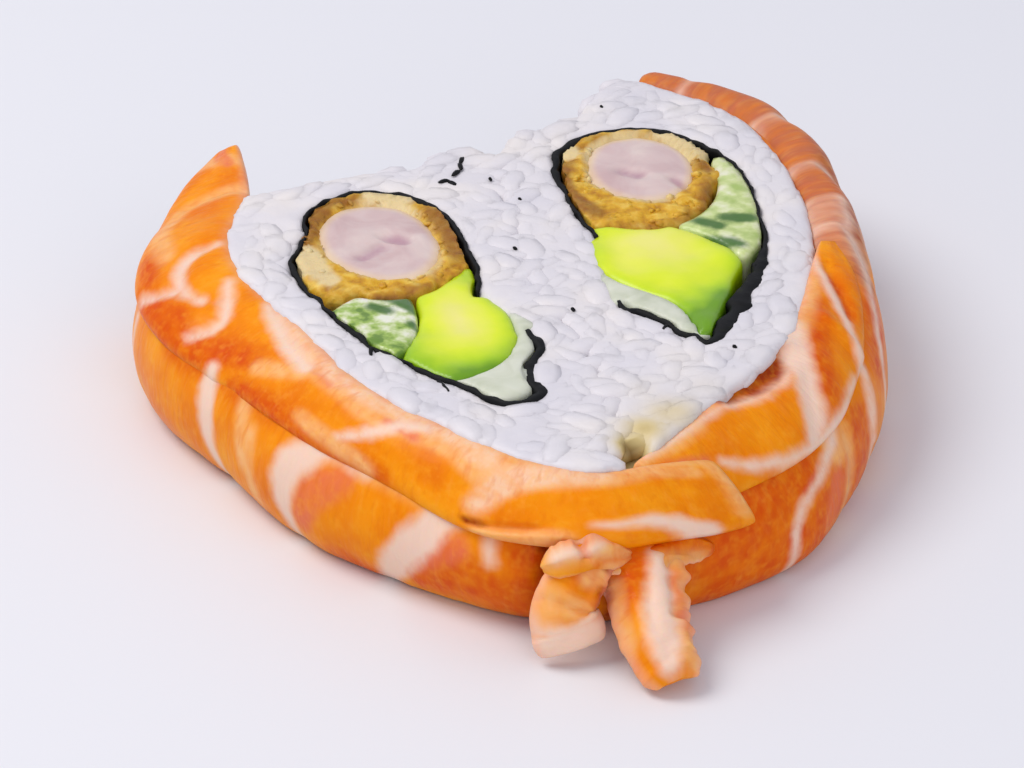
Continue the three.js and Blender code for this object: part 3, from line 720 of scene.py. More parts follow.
riceCore = {"top": 13.98, "bottom": 0.15, "voxel": 0.5, "smoothing": 3, "rimPoints": 60, "tipTuck": 3.2,
            "relief": 0.16, "reliefPeriod": 2.1, "dipFrom": 11, "dipOver": 2}
riceGrain = {"length": 5.3, "width": 2.7, "height": 2.3, "kinds": 5, "segments": 10, "rings": 6,
             "bend": 0.06, "taper": 0.08, "notch": (0.05, 0.14), "notchFrom": 0.32,
             "sizes": (0.88, 1.06), "widths": (0.92, 1.05)}
riceTop = {"spacing": 1.55, "tries": 20000, "height": 14.42, "sunk": 0.36, "margin": 0.2, "tilt": 0.08,
           "headings": 9, "reaches": (0.45, 0.36, 0.28), "flatten": 0.3, "underside": 0.12}
riceBack = {"spacing": 2.2, "tries": 2500, "proud": 0.75, "fromEnds": 1.2, "fromFloor": 1.3, "fromCut": 1.2,
            "tilt": 0.25, "lean": 0.9, "lengthShare": 0.95, "levelNear": 2.4}
# grains against the salmon: how far they reach over the rim, the y that no salmon presses behind,
# and where the tuck at the tip begins and over how much
ricePress = {"overRim": 0.2, "before": 33, "tuckFrom": 40, "tuckOver": 56}
seamDip = {"depth": 0.35, "width": 1.2, "from": 0.0, "fade": 16, "end": (3.2, -15)}
tipPit = {"at": (3, -13.5), "depth": 2.8, "width": 1.5, "clear": 0.9, "lean": -0.3, "lengthShare": 0.9,
          # places and headings
          "grains": [(3.4, -13.4, 11.2, 1.2), (3.6, -15.4, 10.6, 0.3), (1.6, -14.6, 11.4, -0.4)]}
# where pressing and juice have tinted the rice yellow-brown near the tip, and painted shade darkens the pit
# there: place, reach, strength
tintsAndPitShade = [((4.8, -11.2), 2.6, 0.66), ((7.4, -9.4), 3.0, 0.54), ((3.4, -13), 1.7, 1.0),
          ((4.0, -14.6), 1.6, 1.0), ((11, -5.8), 2.4, 0.2), ((6.0, -6.0), 2.6, 0.14)]
# a little yellower and darker towards the floor
lowerTint = {"below": 6, "strength": 0.12}


def halfOutline(side):
    # the rice of one half on the top face: wrap, back, seam
    end = -tipRun if side == "left" else wrapRun[-1] - tipRun
    outside = alongWrap(np.linspace(seamOnWrap, end, riceCore["rimPoints"]))[0]
    back = smoothLine(halves[side]["back"], outlineStep)
    inward = smoothLine(seam + [tuple(outside[0])], 1.0)
    return np.vstack([outside, back[1:-1], inward[:-1]])


outlines = {side: halfOutline(side) for side in halves}
pockets = {side: smoothLine([p[:2] for p in halves[side]["nori"]], outlineStep, closed=True)
           for side in halves}
leftRim, rightRim = (outlines[side][:riceCore["rimPoints"]] for side in ("left", "right"))
wrapRim = np.vstack([leftRim[::-1], rightRim])
seamLine = smoothLine(seam + [seamDip["end"]], 1.0)


def tucked(points, outline):
    # the tip draws in towards the floor
    tip, back = outline[:, 1].min(), outline[:, 1].max()
    most = riceCore["tipTuck"] * (1 - points[:, 2] / cutHeight)
    points[:, 1] += most * (back - points[:, 1]) / (back - tip)
    return points


def dipAt(x, y):
    # how far the top face sinks at the seam's front and in the pit at the tip
    fromSeam = lineDistance(np.stack([x, y], -1), [seamLine])
    fade = np.clip((seamDip["from"] - y) / seamDip["fade"], 0, 1)
    groove = seamDip["depth"] * np.exp(-(fromSeam / seamDip["width"]) ** 2) * fade
    fromPit = (x - tipPit["at"][0]) ** 2 + (y - tipPit["at"][1]) ** 2
    return groove + tipPit["depth"] * np.exp(-fromPit / tipPit["width"] ** 2)


# rice tint: yellow-brown near the tip, painted shade in the pit at the tip, and a little darker towards the
# floor
def tintAndPitShadeAt(points):
    plan = points[:, :2] + planOrigin
    tintAndPitShade = np.zeros(len(points))
    for at, reach, strength in tintsAndPitShade:
        tintAndPitShade = np.maximum(tintAndPitShade, strength * np.exp(-((plan - at) ** 2).sum(1) / reach ** 2))
    low = np.clip((lowerTint["below"] - points[:, 2]) / lowerTint["below"], 0, 1) * lowerTint["strength"]
    return np.clip(tintAndPitShade + low, 0, 1)


def buildRiceCore(side):
    outline, pocket = outlines[side], pockets[side]
    ring, hole = len(outline), len(pocket)
    count = ring + hole
    layers = [np.column_stack([np.vstack([outline, pocket]), np.full(count, z)])
              for z in (riceCore["bottom"], riceCore["top"])]
    points = tucked(np.vstack(layers), outline)
    cap = tessellate_polygon([[Vector((*p, 0)) for p in loop] for loop in (outline, pocket)])
    faces = list(cap) + [(a + count, c + count, b + count) for a, b, c in cap]
    for start, size in ((0, ring), (ring, hole)):
        for i in range(size):
            a, b = start + i, start + (i + 1) % size
            faces.append((a, b, b + count, a + count))
    mesh = makeMesh("riceCore", toFrame(*points.T), faces)
    turnOutwards(mesh)
    mesh = remeshed(mesh, riceCore["voxel"], riceCore["smoothing"])
    points = pointsOf(mesh)
    relief = roughness(points, riceCore["reliefPeriod"], halves[side]["seed"], 2)
    points += normalsOf(mesh) * (riceCore["relief"] * relief)[:, None]
    isTop = np.clip((points[:, 2] - riceCore["dipFrom"]) / riceCore["dipOver"], 0, 1)
    points[:, 2] -= dipAt(points[:, 0] + planOrigin[0], points[:, 1] + planOrigin[1]) * isTop
    points[:, 2] = np.maximum(points[:, 2], lowest)
    setPoints(mesh, points)
    storeValues(mesh, "tintAndPitShade", tintAndPitShadeAt(points))
    addPiece("riceCore" + side.title(), mesh, rice, "rice", "rice_" + side)


def grainSource(index):
    # one plump grain, a little bent, with the notch where its germ was
    rng = np.random.default_rng(100 + index)
    shell = bmesh.new()
    bmesh.ops.create_uvsphere(
        shell, u_segments=riceGrain["segments"], v_segments=riceGrain["rings"], radius=0.5)
    bend, taper = (rng.uniform(-most, most) for most in (riceGrain["bend"], riceGrain["taper"]))
    notch = rng.uniform(*riceGrain["notch"])
    for vert in shell.verts:
        z, y, x = vert.co  # the sphere's poles become the grain's ends
        blunt = math.sqrt(1 + (1.5 * x) ** 2) * (1 + taper * x * 2)
        y, z = y * blunt, z * blunt + bend * (1 - (2 * x) ** 2) * 2
        if x > riceGrain["notchFrom"] and y > 0:
            y -= notch
        vert.co = (x * riceGrain["length"] * mm, y * riceGrain["width"] * mm, z * riceGrain["height"] * mm)
    bmesh.ops.recalc_face_normals(shell, faces=shell.faces)
    return shellMesh("grain%d" % index, shell)


def facing(normal, along):
    # the turn that lays a thing's x along one way and its z along a surface's normal
    normal, along = Vector(normal).normalized(), Vector(along)
    along = (along - normal * along.dot(normal)).normalized()
    return Matrix((along, normal.cross(along), normal)).transposed().to_euler()


def scatterTree():
    # instances on points that carry their own kind, turn and size
    tree = bpy.data.node_groups.new("loosePieces", "GeometryNodeTree")
    sockets = {}
    for name, kind in (("Points", "NodeSocketGeometry"), ("Kinds", "NodeSocketCollection"),
                       ("Material", "NodeSocketMaterial")):
        sockets[name] = tree.interface.new_socket(name, in_out="INPUT", socket_type=kind).identifier
    tree.interface.new_socket("Mesh", in_out="OUTPUT", socket_type="NodeSocketGeometry")
    given = addNode(tree, "NodeGroupInput")
    kinds = addNode(tree, "GeometryNodeCollectionInfo", inputs={
        "Collection": given.outputs["Kinds"], "Separate Children": True, "Reset Children": True})
    own = {name: addNode(tree, "GeometryNodeInputNamedAttribute", {"data_type": kind}, {"Name": name})
           for name, kind in (("kind", "INT"), ("turn", "FLOAT_VECTOR"), ("size", "FLOAT_VECTOR"))}
    placed = addNode(tree, "GeometryNodeInstanceOnPoints", inputs={
        "Points": given.outputs["Points"], "Instance": kinds.outputs["Instances"], "Pick Instance": True,
        "Instance Index": own["kind"].outputs["Attribute"], "Rotation": own["turn"].outputs["Attribute"],
        "Scale": own["size"].outputs["Attribute"]})
    real = addNode(tree, "GeometryNodeRealizeInstances", inputs={"Geometry": placed.outputs["Instances"]})
    painted = addNode(tree, "GeometryNodeSetMaterial", inputs={
        "Geometry": real.outputs["Geometry"], "Material": given.outputs["Material"]})
    smooth = addNode(tree, "GeometryNodeSetShadeSmooth", inputs={"Geometry": painted.outputs["Geometry"]})
    addNode(tree, "NodeGroupOutput", inputs={"Mesh": smooth.outputs["Geometry"]})
    return tree, sockets


loosePieces, looseSockets = scatterTree()


def scattered(sources, material, places, turns, sizes, kinds):
    # one plain mesh of pieces at the given places, each a copy of one of the sources
    collection = bpy.data.collections.new("sources")
    bpy.context.scene.collection.children.link(collection)
    for i, mesh in enumerate(sources):
        collection.objects.link(bpy.data.objects.new("source%02d" % i, mesh))
    guide = bpy.data.meshes.new("guide")
    guide.from_pydata([Vector(p) * mm for p in places], [], [])
    storeValues(guide, "turn", np.array(turns))
    storeValues(guide, "size", np.array(sizes))
    guide.attributes.new("kind", "INT", "POINT").data.foreach_set("value", np.array(kinds, np.int32))
    maker = addObject("maker", guide)
    nodes = maker.modifiers.new("pieces", "NODES")
    nodes.node_group = loosePieces
    nodes[looseSockets["Kinds"]] = collection
    nodes[looseSockets["Material"]] = material
    mesh = modified(maker)
    for name in ("turn", "size", "kind"):
        if name in mesh.attributes:
            mesh.attributes.remove(mesh.attributes[name])
    for source in list(collection.objects):
        bpy.data.objects.remove(source)
    bpy.data.collections.remove(collection)
    return mesh


def thrown(candidates, spacing):
    # those of the candidates that keep their distance, first come first kept
    kept = np.empty((0, candidates.shape[1]))
    for candidate in candidates:
        if not len(kept) or np.linalg.norm(kept - candidate, axis=1).min() > spacing:
            kept = np.vstack([kept, candidate])
    return kept


def faceGrains(rng):
    # whole grains lying in the cut face of both halves: places in plan, headings and length shares
    backs = [smoothLine(halves[side]["back"], outlineStep) for side in halves]
    whole = np.vstack([wrapRim, backs[1], backs[0][::-1]])
    walls = [closedLoop(outline) for outline in (whole, *pockets.values())]

    def room(points):
        inside = insideOutline(points, whole)
        for pocket in pockets.values():
            inside &= ~insideOutline(points, pocket)
        fromPit = np.linalg.norm(points - tipPit["at"], axis=1) - tipPit["clear"]
        return np.where(inside, np.minimum(lineDistance(points, walls), fromPit), -1)

    low, high = whole.min(0), whole.max(0)
    candidates = rng.uniform(low, high, (riceTop["tries"], 2))
    candidates = candidates[room(candidates) > riceGrain["width"] * 0.4]
    kept = []
    for place in thrown(candidates, riceTop["spacing"]):
        headings = rng.uniform(0, math.pi, riceTop["headings"])
        for reach in riceTop["reaches"]:
            way = np.stack([np.cos(headings), np.sin(headings)], -1) * riceGrain["length"] * reach
            space = np.minimum(room(place + way), room(place - way))
            if space.max() > riceTop["margin"]:
                heading = headings[space > riceTop["margin"]][0]
                kept.append((*place, heading, reach / riceTop["reaches"][0]))
                break
    return kept


def keepOut(points):
    # grains that would reach into a pocket or into the salmon are pressed flat against it
    plan = points[:, :2] + planOrigin
    for pocket in pockets.values():
        inner = insideOutline(plan, pocket)
        plan[inner] = nearestOn(plan[inner], closedLoop(pocket))[1]
    over = ricePress["overRim"]
    most = riceCore["tipTuck"] * (1 - points[:, 2] / cutHeight)
    squeeze = most * (ricePress["tuckFrom"] - plan[:, 1]) / ricePress["tuckOver"]
    level = plan - np.column_stack([np.zeros(len(plan)), np.maximum(squeeze, 0)])
    past = ~insideOutline(level, wrapRim) & (plan[:, 1] < ricePress["before"])
    past &= nearestOn(level, wrapRim)[0] > over
    away, foot, _ = nearestOn(level[past], wrapRim)
    plan[past] += (foot - level[past]) * (1 - over / away)[:, None]
    points[:, :2] = plan - planOrigin


def underKnife(points):
    # the knife leaves the tops of the grains nearly flat, within the height of the solids
    above = points[:, 2] > cutHeight
    points[above, 2] = cutHeight + (points[above, 2] - cutHeight) * riceTop["flatten"]
    points[:, 2] = np.clip(points[:, 2], 0.0, cadBox[1].z / mm)
    points[:, 1] = np.minimum(points[:, 1], cadBox[1].y / mm)


def buildRiceGrains():
    rng = np.random.default_rng(7)
    laid = {side: [] for side in halves}  # each grain's place, turn, size and kind
    half = riceGrain["height"] / 2

    def lay(side, place, normal, along, lengthShare):
        even = rng.uniform(*riceGrain["sizes"])
        size = (even * lengthShare, even * rng.uniform(*riceGrain["widths"]), even)
        laid[side].append((place, facing(normal, along), size, rng.integers(riceGrain["kinds"])))

    def layFace(isTop):
        for x, y, heading, share in faceGrains(rng):
            side = "left" if insideOutline(np.array([[x, y]]), outlines["left"])[0] else "right"
            sunk = rng.uniform(0, riceTop["sunk"])
            if isTop:
                z = riceTop["height"] - half - sunk - dipAt(np.array([x]), np.array([y]))[0]
            else:
                z = half - riceTop["underside"] + sunk
                y = tucked(np.array([[x, y, 0.0]]), outlines[side])[0, 1]
            tilt = rng.normal(0, riceTop["tilt"], 2)
            lay(side, toFrame(x, y, z), (*tilt, 1), (math.cos(heading), math.sin(heading), 0), share)

    def layBack(side):
        back = smoothLine(halves[side]["back"], 0.4)
        run = runAlong(back)
        low = (riceBack["fromEnds"], riceBack["fromFloor"])
        high = (run[-1] - riceBack["fromEnds"], cutHeight - riceBack["fromCut"])
        for along, z in thrown(rng.uniform(low, high, (riceBack["tries"], 2)), riceBack["spacing"]):
            before, place, after = (np.array([np.interp(along + way, run, back[:, i]) for i in (0, 1)])
                                    for way in (-1, 0, 1))
            ahead = (after - before) / np.linalg.norm(after - before)
            out = np.array([-ahead[1], ahead[0]]) * (1 if ahead[0] > 0 else -1)
            x, y = place + out * (riceBack["proud"] - half)
            tilt = rng.normal(0, riceBack["tilt"], 3)
            # near the floor or the cut a grain lies level
            level = min(1, (z - 0.4) / riceBack["levelNear"], (cutHeight - 0.2 - z) / riceBack["levelNear"])
            lift = math.sin(rng.uniform(-riceBack["lean"], riceBack["lean"])) * level
            lay(side, toFrame(x, y, z), (*(out + tilt[:2]), tilt[2]), (*ahead, lift), riceBack["lengthShare"])

    for x, y, z, heading in tipPit["grains"]:
        along = (math.cos(heading), math.sin(heading), 0)
        lay("left", toFrame(x, y, z), (0, tipPit["lean"], 1), along, tipPit["lengthShare"])
    for isTop in (True, False):
        layFace(isTop)
    for side in halves:
        layBack(side)
    sources = [grainSource(i) for i in range(riceGrain["kinds"])]
    for side, grains in laid.items():
        mesh = scattered(sources, rice, *zip(*grains))
        points = pointsOf(mesh)
        keepOut(points)
        underKnife(points)
        setPoints(mesh, points)
        storeValues(mesh, "tintAndPitShade", tintAndPitShadeAt(points))
        addPiece("riceGrains" + side.title(), mesh, rice, "rice")
        print("rice", side, "-", len(grains), "grains")


for side in halves:
    buildRiceCore(side)
buildRiceGrains()


# nori: a crinkled sheet on edge round the fillings

noriSheet = {
    "thick": 0.48, "step": 0.28, "levels": [0.02, 0.3, 2.5, 5.5, 8.5, 11.3, 12.8, 13.7],
    "top": 14.08, "topShare": 0.7, "topWaver": 0.14, "topPeriod": 1.7,
    "waver": 0.5, "waverPeriod": 1.4, "ripple": 0.26, "ripplePeriod": 1.4,
    "relief": 0.09, "reliefPeriod": 0.9,
}
noriSpurs = {
    "left": [[(-10.1, -0.6, 0.8), (-9.7, -2.7, 0.5)], [(-14.4, 5.6, 0.9), (-14.9, 3.9, 0.5)]],
    "right": [[(19.4, 13.4, 1.2), (20.9, 14.2, 0.7)], [(10.2, 4.6, 0.9), (9.4, 3.4, 0.5)]],
}
# scraps of sheet that the knife dragged over the rice: x, y, length, heading
noriScraps = {
    "left": [(-3.4, 33, 0.9, 0.4), (-2.8, 32.5, 0.8, -0.9), (-1.2, 36.5, 1.1, 1.2), (-1.5, 35.4, 1.2, 1.5),
             (-2.1, 34.3, 1.1, 0.9), (0.6, 32.6, 0.26, 0), (0.3, 20, 0.2, 1)],
    "right": [(2.4, 28.5, 0.24, 0.5), (3, 8.7, 0.3, 0.3), (14.8, 0, 0.3, 0.6), (12.8, 44, 0.24, 0.2)],
}
scrapShape = {"lift": 0.12, "stretch": 1.3, "width": 0.42, "height": 0.35}


def noriBand(line, seed):
    # points and faces of one stretch of sheet: [x, y, share of the thickness]
    count = len(line)
    ahead = np.gradient(line[:, :2], axis=0)
    ahead /= np.linalg.norm(ahead, axis=1, keepdims=True)
    aside = np.stack([ahead[:, 1], -ahead[:, 0]], -1)
    flat = np.column_stack([line[:, :2], np.zeros(count)])
    ripple = noriSheet["ripple"] * roughness(flat, noriSheet["ripplePeriod"], seed, 2)
    waver = 1 + noriSheet["waver"] * roughness(flat, noriSheet["waverPeriod"], seed + 2)
    half = noriSheet["thick"] / 2 * line[:, 2] * waver
    top = noriSheet["top"] + noriSheet["topWaver"] * roughness(flat, noriSheet["topPeriod"], seed + 4, 2)
    points = []
    for i in range(count):
        wall = [(half[i], z) for z in noriSheet["levels"]] + [(half[i] * noriSheet["topShare"], top[i])]
        ring = wall + [(-out, z) for out, z in wall[::-1]]
        points += [(*(line[i, :2] + aside[i] * (out + ripple[i])), z) for out, z in ring]
    return points, tubeFaces(count, len(ring))


def buildNori(side):
    points, faces = [], []
    for i, line in enumerate([halves[side]["nori"], *noriSpurs[side]]):
        some, their = noriBand(smoothLine(line, noriSheet["step"]), halves[side]["seed"] + i)
        faces += [tuple(f + len(points) for f in face) for face in their]
        points += some
    mesh = makeMesh("nori", toFrame(*np.array(points).T), faces)
    turnOutwards(mesh)
    points, normals = pointsOf(mesh), normalsOf(mesh)
    normals[:, 2] = 0
    relief = noriSheet["relief"] * roughness(points, noriSheet["reliefPeriod"], 5, 2)
    setPoints(mesh, points + normals * relief[:, None])
    addPiece("nori" + side.title(), mesh, nori, "nori", "nori_" + side)


def scrapSource():
    shell = bmesh.new()
    bmesh.ops.create_icosphere(shell, subdivisions=2, radius=0.5 * mm)
    for vert in shell.verts:
        vert.co *= 1 + 0.5 * noise.noise(vert.co / mm * 2.2)
    return shellMesh("scrap", shell)


def buildScraps(side):
    scraps = [(toFrame(x, y, cutHeight + scrapShape["lift"]), (0, 0, turn),
               (length * scrapShape["stretch"], scrapShape["width"], scrapShape["height"]), 0)
              for x, y, length, turn in noriScraps[side]]
    mesh = scattered([scrapSource()], nori, *zip(*scraps))
    addPiece("noriScraps" + side.title(), mesh, nori, "nori")


for side in halves:
    buildNori(side)
    buildScraps(side)
print("nori made")


# prawn: meat inside a crust of crumbs

# voxel and smoothing give a filling's edges, swell fills the gaps between the solids, and a wall less than
# near from the middle of the nori is drawn to the sheet, with a gap left free and no change beyond reach
prawnSkin = {"voxel": 0.32, "smoothing": 2, "swell": 0.24, "near": 1.9, "reach": 3.2, "gap": 0.26}
softBlock = {"voxel": 0.3, "smoothing": 4, "swell": 0.24, "near": 0.95, "reach": 2.2, "gap": 0.04}
fillingBox = {"bottom": 0.02, "overCut": 0.3, "endFade": 2.4, "least": 0.05}
meatForm = {"around": 72, "rings": 16, "proud": 0.1, "fall": 0.5, "wobble": 0.05, "wobblePeriod": 1.6,
            "bumps": 0.16, "bumpPeriod": 3.2, "radius": 6, "veinDepth": 0.35, "veinWidth": 0.5}
crust = {"relief": 0.34, "reliefPeriod": 1.3, "sink": 0.9, "sinkOver": 0.12,
         "toastFade": 1.1, "paleFade": 0.6, "palest": 0.5, "batterFade": 0.9}
crumb = {"kinds": 4, "spacing": 0.62, "tries": 6000, "fromRim": 0.25, "fromMeat": 4.5,
         "heights": (-0.25, 0.1), "tilt": 0.7, "turn": 6.28, "sizes": (0.55, 1.15), "shape": (1.25, 0.9, 0.9),
         "radii": (0.65, 1.2), "flatness": 0.6}
topZone = 12  # what is higher belongs to the cut face
markReach = 5  # distances from a mark are kept up to this


def ovalShare(plan, meat, extra=0.0):
    # how far out a point is in an oval: 1 on its edge
    tilt = math.radians(meat["turn"])
    away = plan - np.array(meat["at"])
    x = away[:, 0] * math.cos(tilt) + away[:, 1] * math.sin(tilt)
    y = away[:, 1] * math.cos(tilt) - away[:, 0] * math.sin(tilt)
    return np.hypot(x / (meat["radii"][0] + extra), y / (meat["radii"][1] + extra))


def topRim(node):
    # the outline of a prism's top face, as short lines in plan
    shell = bmesh.new()
    shell.from_mesh(nodeCopy(node))
    lines = []
    for edge in shell.edges:
        flats = [abs(f.normal.z) > 0.9 for f in edge.link_faces]
        if all(v.co.z > (cutHeight - 0.1) * mm for v in edge.verts) and any(flats) and not all(flats):
            lines.append([np.array(v.co[:2]) / mm + planOrigin for v in edge.verts])
    shell.free()
    return lines


def pressedOut(points, side, skin):
    # a filling's walls drawn to the sheet of nori where they are near it, but not past its ends
    line = smoothLine(halves[side]["nori"], outlineStep)
    plan = points[:, :2] + planOrigin
    away, foot, share = nearestOn(plan, line)
    inner = share * noriSheet["thick"] / 2 + skin["gap"]
    rise = np.clip((away - skin["near"]) / (skin["reach"] - skin["near"]), 0, 1)
    wanted = np.maximum(inner + (skin["reach"] - inner) * rise, inner)
    least = fillingBox["least"]
    fromEnd = np.minimum(*(np.linalg.norm(foot - line[end, :2], axis=1) for end in (0, -1)))
    share = np.clip(fromEnd / fillingBox["endFade"], 0, 1) * (away < skin["reach"]) * (away > least)
    plan += (plan - foot) * ((wanted / np.maximum(away, least) - 1) * share)[:, None]
    points[:, :2] = plan - planOrigin
    return points


def boxed(points):
    points[:, 2] = np.clip(points[:, 2], fillingBox["bottom"], cutHeight + fillingBox["overCut"])
    return points


def softened(node, skin):
    # a filling's solid with its edges rounded, pressed against its neighbours
    mesh = remeshed(nodeCopy(node), skin["voxel"], skin["smoothing"])
    swollen = pointsOf(mesh) + normalsOf(mesh) * skin["swell"]
    setPoints(mesh, boxed(pressedOut(swollen, node.split("_")[-1], skin)))
    return mesh


def meatBlock(meat, seed):
    # an uneven oval column, crowned at its cut faces
    around, rings = meatForm["around"], meatForm["rings"]
    tilt = math.radians(meat["turn"])
    points, faces = [], []
    for end, way in ((fillingBox["bottom"], -1), (cutHeight + meatForm["proud"], 1)):
        points.append((*meat["at"], end))
        for ring in range(1, rings + 1):
            share = math.sin(ring / rings * math.pi / 2)
            fall = meatForm["fall"] * share ** 8
            for i in range(around):
                angle = 2 * math.pi * i / around
                field = Vector((math.cos(angle) * meatForm["wobblePeriod"],
                                math.sin(angle) * meatForm["wobblePeriod"], seed))
                wobble = 1 + meatForm["wobble"] * noise.noise(field)
                x = meat["radii"][0] * share * wobble * math.cos(angle)
                y = meat["radii"][1] * share * wobble * math.sin(angle)
                points.append((meat["at"][0] + x * math.cos(tilt) - y * math.sin(tilt),
                               meat["at"][1] + x * math.sin(tilt) + y * math.cos(tilt), end - way * fall))
    size = 1 + rings * around
    last = size - around
    pairs = [(i, (i + 1) % around) for i in range(around)]
    for base in (0, size):
        for i, j in pairs:
            faces.append((base, base + 1 + i, base + 1 + j))
            for a in range(base + 1, base + last, around):
                faces.append((a + i, a + around + i, a + around + j, a + j))
    faces += [(last + i, last + j, size + last + j, size + last + i) for i, j in pairs]
    mesh = makeMesh("meat", toFrame(*np.array(points).T), faces)
    turnOutwards(mesh)
    points, normals = pointsOf(mesh), normalsOf(mesh)
    isTop = np.abs(normals[:, 2]) > 0.6
    bumps = meatForm["bumps"] * roughness(points, meatForm["bumpPeriod"], seed, 2) * isTop
    setPoints(mesh, points + normals * bumps[:, None])
    return mesh


def storeCrust(mesh, side, rim):
    # browner towards the crust's outside, darker along the brown strokes (browner crumbs and painted shade
    # against the nori), and pale where batter shows
    plan = pointsOf(mesh)[:, :2] + planOrigin
    half = halves[side]
    toastAndShade = np.exp(-(np.maximum(lineDistance(plan, half["toastAndShade"]), 0) / crust["toastFade"]) ** 2)
    storeValues(mesh, "rim", np.minimum(lineDistance(plan, rim), markReach) - toastAndShade)
    fromMeat = np.maximum(ovalShare(plan, half["meat"]) - 1, 0) * meatForm["radius"]
    inner = np.exp(-(fromMeat / crust["paleFade"]) ** 2) * crust["palest"]
    patches = np.exp(-(np.maximum(lineDistance(plan, half["batter"]), 0) / crust["batterFade"]) ** 2)
    storeValues(mesh, "batter", np.maximum(inner, patches) * (1 - toastAndShade))


def buildPrawn(side):
    meat, seed = halves[side]["meat"], halves[side]["seed"]
    mesh = meatBlock(meat, seed)
    points = pointsOf(mesh)
    plan = points[:, :2] + planOrigin
    vein = lineDistance(plan, meat["vein"])
    groove = meatForm["veinDepth"] * np.exp(-(np.maximum(vein, 0) / meatForm["veinWidth"]) ** 2)
    points[:, 2] -= groove * (points[:, 2] > topZone)
    setPoints(mesh, points)
    storeValues(mesh, "vein", np.minimum(vein, markReach))
    storeValues(mesh, "rim", (1 - ovalShare(plan, meat)) * meatForm["radius"])
    addPiece("prawnMeat" + side.title(), mesh, prawnMeat, "prawn")

    mesh = softened("prawn_" + side, prawnSkin)
    points, normals = pointsOf(mesh), normalsOf(mesh)
    inside = 1.0 - ovalShare(points[:, :2] + planOrigin, meat)
    under = np.clip(inside / crust["sinkOver"], 0, 1) * crust["sink"]
    points += normals * (crust["relief"] * roughness(points, crust["reliefPeriod"], seed + 1, 3))[:, None]
    points[:, 2] -= np.where(points[:, 2] > cutHeight / 2, under, -under)
    setPoints(mesh, boxed(points))
    rim = topRim("prawn_" + side)
    storeCrust(mesh, side, rim)
    addPiece("prawnCrust" + side.title(), mesh, breadCrumbs, "prawn", "prawn_" + side)
    buildCrumbs(side, rim)


def crumbSource(index):
    rng = np.random.default_rng(300 + index)
    shell = bmesh.new()
    bmesh.ops.create_icosphere(shell, subdivisions=1, radius=0.5 * mm)
    for vert in shell.verts:
        vert.co *= rng.uniform(*crumb["radii"])
        vert.co.z *= crumb["flatness"]
    return shellMesh("crumb%d" % index, shell)


def orderedLoop(lines):
    # short lines joined end to end into one outline
    links = {}
    key = lambda p: (round(p[0], 2), round(p[1], 2))
    for a, b in lines:
        links.setdefault(key(a), []).append(key(b))
        links.setdefault(key(b), []).append(key(a))
    start = next(iter(links))
    loop, last = [start], None
    while True:
        onward = [p for p in links[loop[-1]] if p != last]
        if not onward or onward[0] == start:
            return np.array(loop)
        last = loop[-1]
        loop.append(onward[0])


def buildCrumbs(side, rim):
    meat = halves[side]["meat"]
    rng = np.random.default_rng(halves[side]["seed"] + 50)
    outline = np.array([line[0] for line in rim])
    candidates = rng.uniform(outline.min(0), outline.max(0), (crumb["tries"], 2))
    ring = (ovalShare(candidates, meat) > 1.0) & (lineDistance(candidates, rim) > crumb["fromRim"])
    ring &= ovalShare(candidates, meat, crumb["fromMeat"]) < 1
    ring &= insideOutline(candidates, orderedLoop(rim))
    crumbs = []  # place, turn, size and kind
    for x, y in thrown(candidates[ring], crumb["spacing"]):
        place = toFrame(x, y, cutHeight + rng.uniform(*crumb["heights"]))
        turn = (*rng.uniform(-crumb["tilt"], crumb["tilt"], 2), rng.uniform(0, crumb["turn"]))
        size = rng.uniform(*crumb["sizes"]) * np.array(crumb["shape"])
        crumbs.append((place, turn, size, rng.integers(crumb["kinds"])))
    mesh = scattered([crumbSource(i) for i in range(crumb["kinds"])], breadCrumbs, *zip(*crumbs))
    storeCrust(mesh, side, rim)
    addPiece("prawnCrumbs" + side.title(), mesh, breadCrumbs, "prawn")
    print("prawn", side, "-", len(crumbs), "crumbs on the cut")


for side in halves:
    buildPrawn(side)


# avocado, cucumber and cream cheese: soft blocks that fill the rest of the pocket

avocadoForm = {"smoothing": 16, "bumps": 0.3, "bumpPeriod": 4.5}
avocadoShade = {"spread": 0.54, "rim": 0.12, "rimFade": 1.2, "dark": 0.26, "darkFade": 2.6, "most": 1.1}


def buildAvocado(side):
    facts = halves[side]["avocado"]
    mesh = softened("avocado_" + side, softBlock | {"smoothing": avocadoForm["smoothing"]})
    points = pointsOf(mesh)
    plan = points[:, :2] + planOrigin
    fromRim = lineDistance(plan, topRim("avocado_" + side))
    fromDark = np.maximum(lineDistance(plan, facts["dark"]), 0)
    away = (plan - np.array(facts["pale"])) / np.array(facts["reach"])
    shade = avocadoShade["spread"] * np.hypot(away[:, 0], away[:, 1])
    shade += avocadoShade["rim"] * np.exp(-(fromRim / avocadoShade["rimFade"]) ** 2)
    shade += avocadoShade["dark"] * np.exp(-(fromDark / avocadoShade["darkFade"]) ** 2)
    bumps = avocadoForm["bumps"] * roughness(points, avocadoForm["bumpPeriod"], 9, 2)
    points[:, 2] += bumps * (points[:, 2] > topZone)
    setPoints(mesh, points)
    storeValues(mesh, "shade", np.clip(shade, 0, avocadoShade["most"]))
    addPiece("avocado" + side.title(), mesh, avocado, "avocado", "avocado_" + side)


def buildCucumber(side):
    mesh = softened("cucumber_" + side, softBlock)
    plan = pointsOf(mesh)[:, :2] + planOrigin
    storeValues(mesh, "skin", np.minimum(lineDistance(plan, halves[side]["skin"]), markReach))
    storeValues(mesh, "mottle", np.full(len(plan), halves[side]["mottle"]))
    addPiece("cucumber" + side.title(), mesh, cucumber, "cucumber", "cucumber_" + side)


